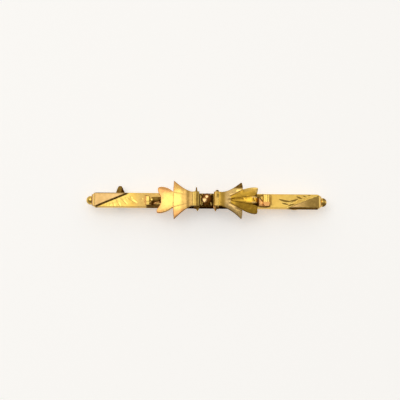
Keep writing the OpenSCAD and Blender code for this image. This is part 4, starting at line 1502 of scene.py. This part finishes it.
class BROOCH_OT_setting(bpy.types.Operator):
    """Make the stone's base plate, collet and claws"""
    bl_idname = "brooch.setting"
    bl_label = "Setting"

    def execute(self, context):
        shell = setting_shell()
        x, y, _ = shell[0].T
        # Painted shade on the setting, lighter only on its left part away from the bar's edges
        soil = 0.3 + 0.75 * np.maximum(ease(-1.05, -0.8, x), ease(0.9, 1.2, np.abs(y)))
        make_piece("setting", shell, polished_gold, soil=soil)
        claw = claw_shell()
        # The claws are painted with shade too
        mesh = new_mesh("claw", claw, {"soil": np.full(len(claw[0]), 0.4)})
        values = {"Count": 4, "First turn": math.radians(45), "Material": finish(polished_gold)}
        grow("claws", ring_of_claws_tree(), values, mesh)
        return {"FINISHED"}


class BROOCH_OT_stone(bpy.types.Operator):
    """Make the small brown stone"""
    bl_idname = "brooch.stone"
    bl_label = "Stone"

    def execute(self, context):
        make_piece("stone", stone_shell(), smoky_stone, "brown_stone", sharp=0.5)
        return {"FINISHED"}


class BROOCH_OT_catch(bpy.types.Operator):
    """Make the C-shaped catch"""
    bl_idname = "brooch.catch"
    bl_label = "Catch"

    def execute(self, context):
        shell = catch_shell()
        # Painted shade on the catch under the bar, going black on its right part
        soil = 0.8 + 0.5 * ease(-17.9, -17.5, shell[0][:, 0])
        make_piece("catch", shell, polished_gold, soil=soil)
        return {"FINISHED"}


class BROOCH_OT_pin(bpy.types.Operator):
    """Make the pin and its hinge block"""
    bl_idname = "brooch.pin"
    bl_label = "Pin"

    def execute(self, context):
        make_piece("pin", hinge_shell(), polished_gold)
        low, high = corners("pin")
        values = {"Start": Vector((low[0], 0, PIN_Z)) * MM,
                  "End": Vector((high[0] - HINGE_INSET, 0, PIN_Z)) * MM,
                  "Diameter": PIN_D * MM, "Point": mm("pin_point") * MM,
                  "Material": finish(polished_gold)}
        grow("pin_wire", drawn_wire_tree(), values)
        return {"FINISHED"}


# Name, place and width in metres, and power in watts
SOFTBOXES = [
    ("softbox", (-0.174, 0.083, 0.568), 0.46, 0.86),
    ("side_panel", (0.228, 0.1, 0.545), 0.16, 0.085),
]
# The camera's lens and sensor in millimetres, how wide a view it takes in at the brooch, how far
# it is rolled and raised, and how far left of and above the brooch's middle the view's middle is
LENS, SENSOR = 120.0, 36.0
VIEW_WIDTH = 83.2 * MM
ROLL, ELEVATION = math.radians(0.55), math.radians(76)
VIEW_LEFT, VIEW_UP = 1.35 * MM, 0.25 * MM


class BROOCH_OT_stage(bpy.types.Operator):
    """Make the floor, the lights and the camera"""
    bl_idname = "brooch.stage"
    bl_label = "Stage"

    def execute(self, context):
        scene = context.scene
        scene.view_settings.view_transform = "Standard"
        floor_mesh = bpy.data.meshes.new("floor")
        reach = 3.0
        floor_mesh.from_pydata([(-reach, -reach, 0), (reach, -reach, 0), (reach, reach, 0),
                                (-reach, reach, 0)], [], [(0, 1, 2, 3)])
        floor_mesh.materials.append(light_table())
        floor = link("floor", floor_mesh)

        scene.world = soft_room()
        for softbox in SOFTBOXES:
            lamp(*softbox)

        back = Vector((0, -math.cos(ELEVATION), math.sin(ELEVATION)))
        across = Vector((1, 0, 0))
        up = back.cross(across)
        right = across * math.cos(ROLL) + up * math.sin(ROLL)
        above = up * math.cos(ROLL) - across * math.sin(ROLL)
        camera_data = bpy.data.cameras.new("camera")
        camera_data.lens = LENS
        camera_data.sensor_width = SENSOR
        camera_data.clip_start = 0.01
        camera = link("camera", camera_data)
        aim = (CAD_BOX[0] + CAD_BOX[1]) / 2 - right * VIEW_LEFT + above * VIEW_UP
        turn = Matrix((right, above, back)).transposed().to_4x4()
        turn.translation = aim + back * VIEW_WIDTH * LENS / SENSOR
        camera.matrix_world = turn
        scene.camera = camera
        return {"FINISHED"}


def soft_room():
    """A world that is dim on the wearer's side and brighter beyond the brooch."""
    world = bpy.data.worlds.new("soft_room")
    world.use_nodes = True
    tree = world.node_tree
    toward = add(tree, "ShaderNodeTexCoord").outputs["Generated"]
    parts = add(tree, "ShaderNodeSeparateXYZ", {"Vector": toward})
    level = add(tree, "ShaderNodeMapRange", {"Value": parts.outputs["Y"], "From Min": -0.6,
                                             "From Max": 0.8, "To Min": 0.15, "To Max": 0.7})
    background = tree.nodes["Background"]
    background.inputs["Color"].default_value = (1, 0.975, 0.94, 1)
    tree.links.new(level.outputs[0], background.inputs["Strength"])
    return world


def lamp(name, place, size, power):
    """A square softbox that faces the brooch."""
    light = bpy.data.lights.new(name, "AREA")
    light.shape = "SQUARE"
    light.size = size
    light.energy = power
    made = link(name, light)
    made.location = place
    made.rotation_euler = Vector(place).to_track_quat("Z", "Y").to_euler()


class BROOCH_PT_panel(bpy.types.Panel):
    """Buttons and settings of the brooch"""
    bl_idname = "BROOCH_PT_panel"
    bl_label = "Bar Brooch"
    bl_space_type = "VIEW_3D"
    bl_region_type = "UI"
    bl_category = "Brooch"

    def draw(self, context):
        for step in STEPS:
            self.layout.operator(step.bl_idname)
        for group in (context.scene.brooch_sizes, context.scene.brooch_colours):
            for name in group.__annotations__:
                self.layout.prop(group, name)


STEPS = (BROOCH_OT_bar, BROOCH_OT_ball_ends, BROOCH_OT_corner_plates, BROOCH_OT_fans,
         BROOCH_OT_ribbon_ends, BROOCH_OT_collars, BROOCH_OT_setting, BROOCH_OT_stone,
         BROOCH_OT_catch, BROOCH_OT_pin, BROOCH_OT_stage)
CLASSES = (BroochSizes, BroochColours, *STEPS, BROOCH_PT_panel)


def register():
    for c in CLASSES:
        bpy.utils.register_class(c)
    bpy.types.Scene.brooch_sizes = PointerProperty(type=BroochSizes)
    bpy.types.Scene.brooch_colours = PointerProperty(type=BroochColours)


def unregister():
    del bpy.types.Scene.brooch_sizes
    del bpy.types.Scene.brooch_colours
    for c in reversed(CLASSES):
        bpy.utils.unregister_class(c)


def main():
    register()
    for step in STEPS:
        group, name = step.bl_idname.split(".")
        getattr(getattr(bpy.ops, group), name)()


if __name__ == "__main__":
    main()
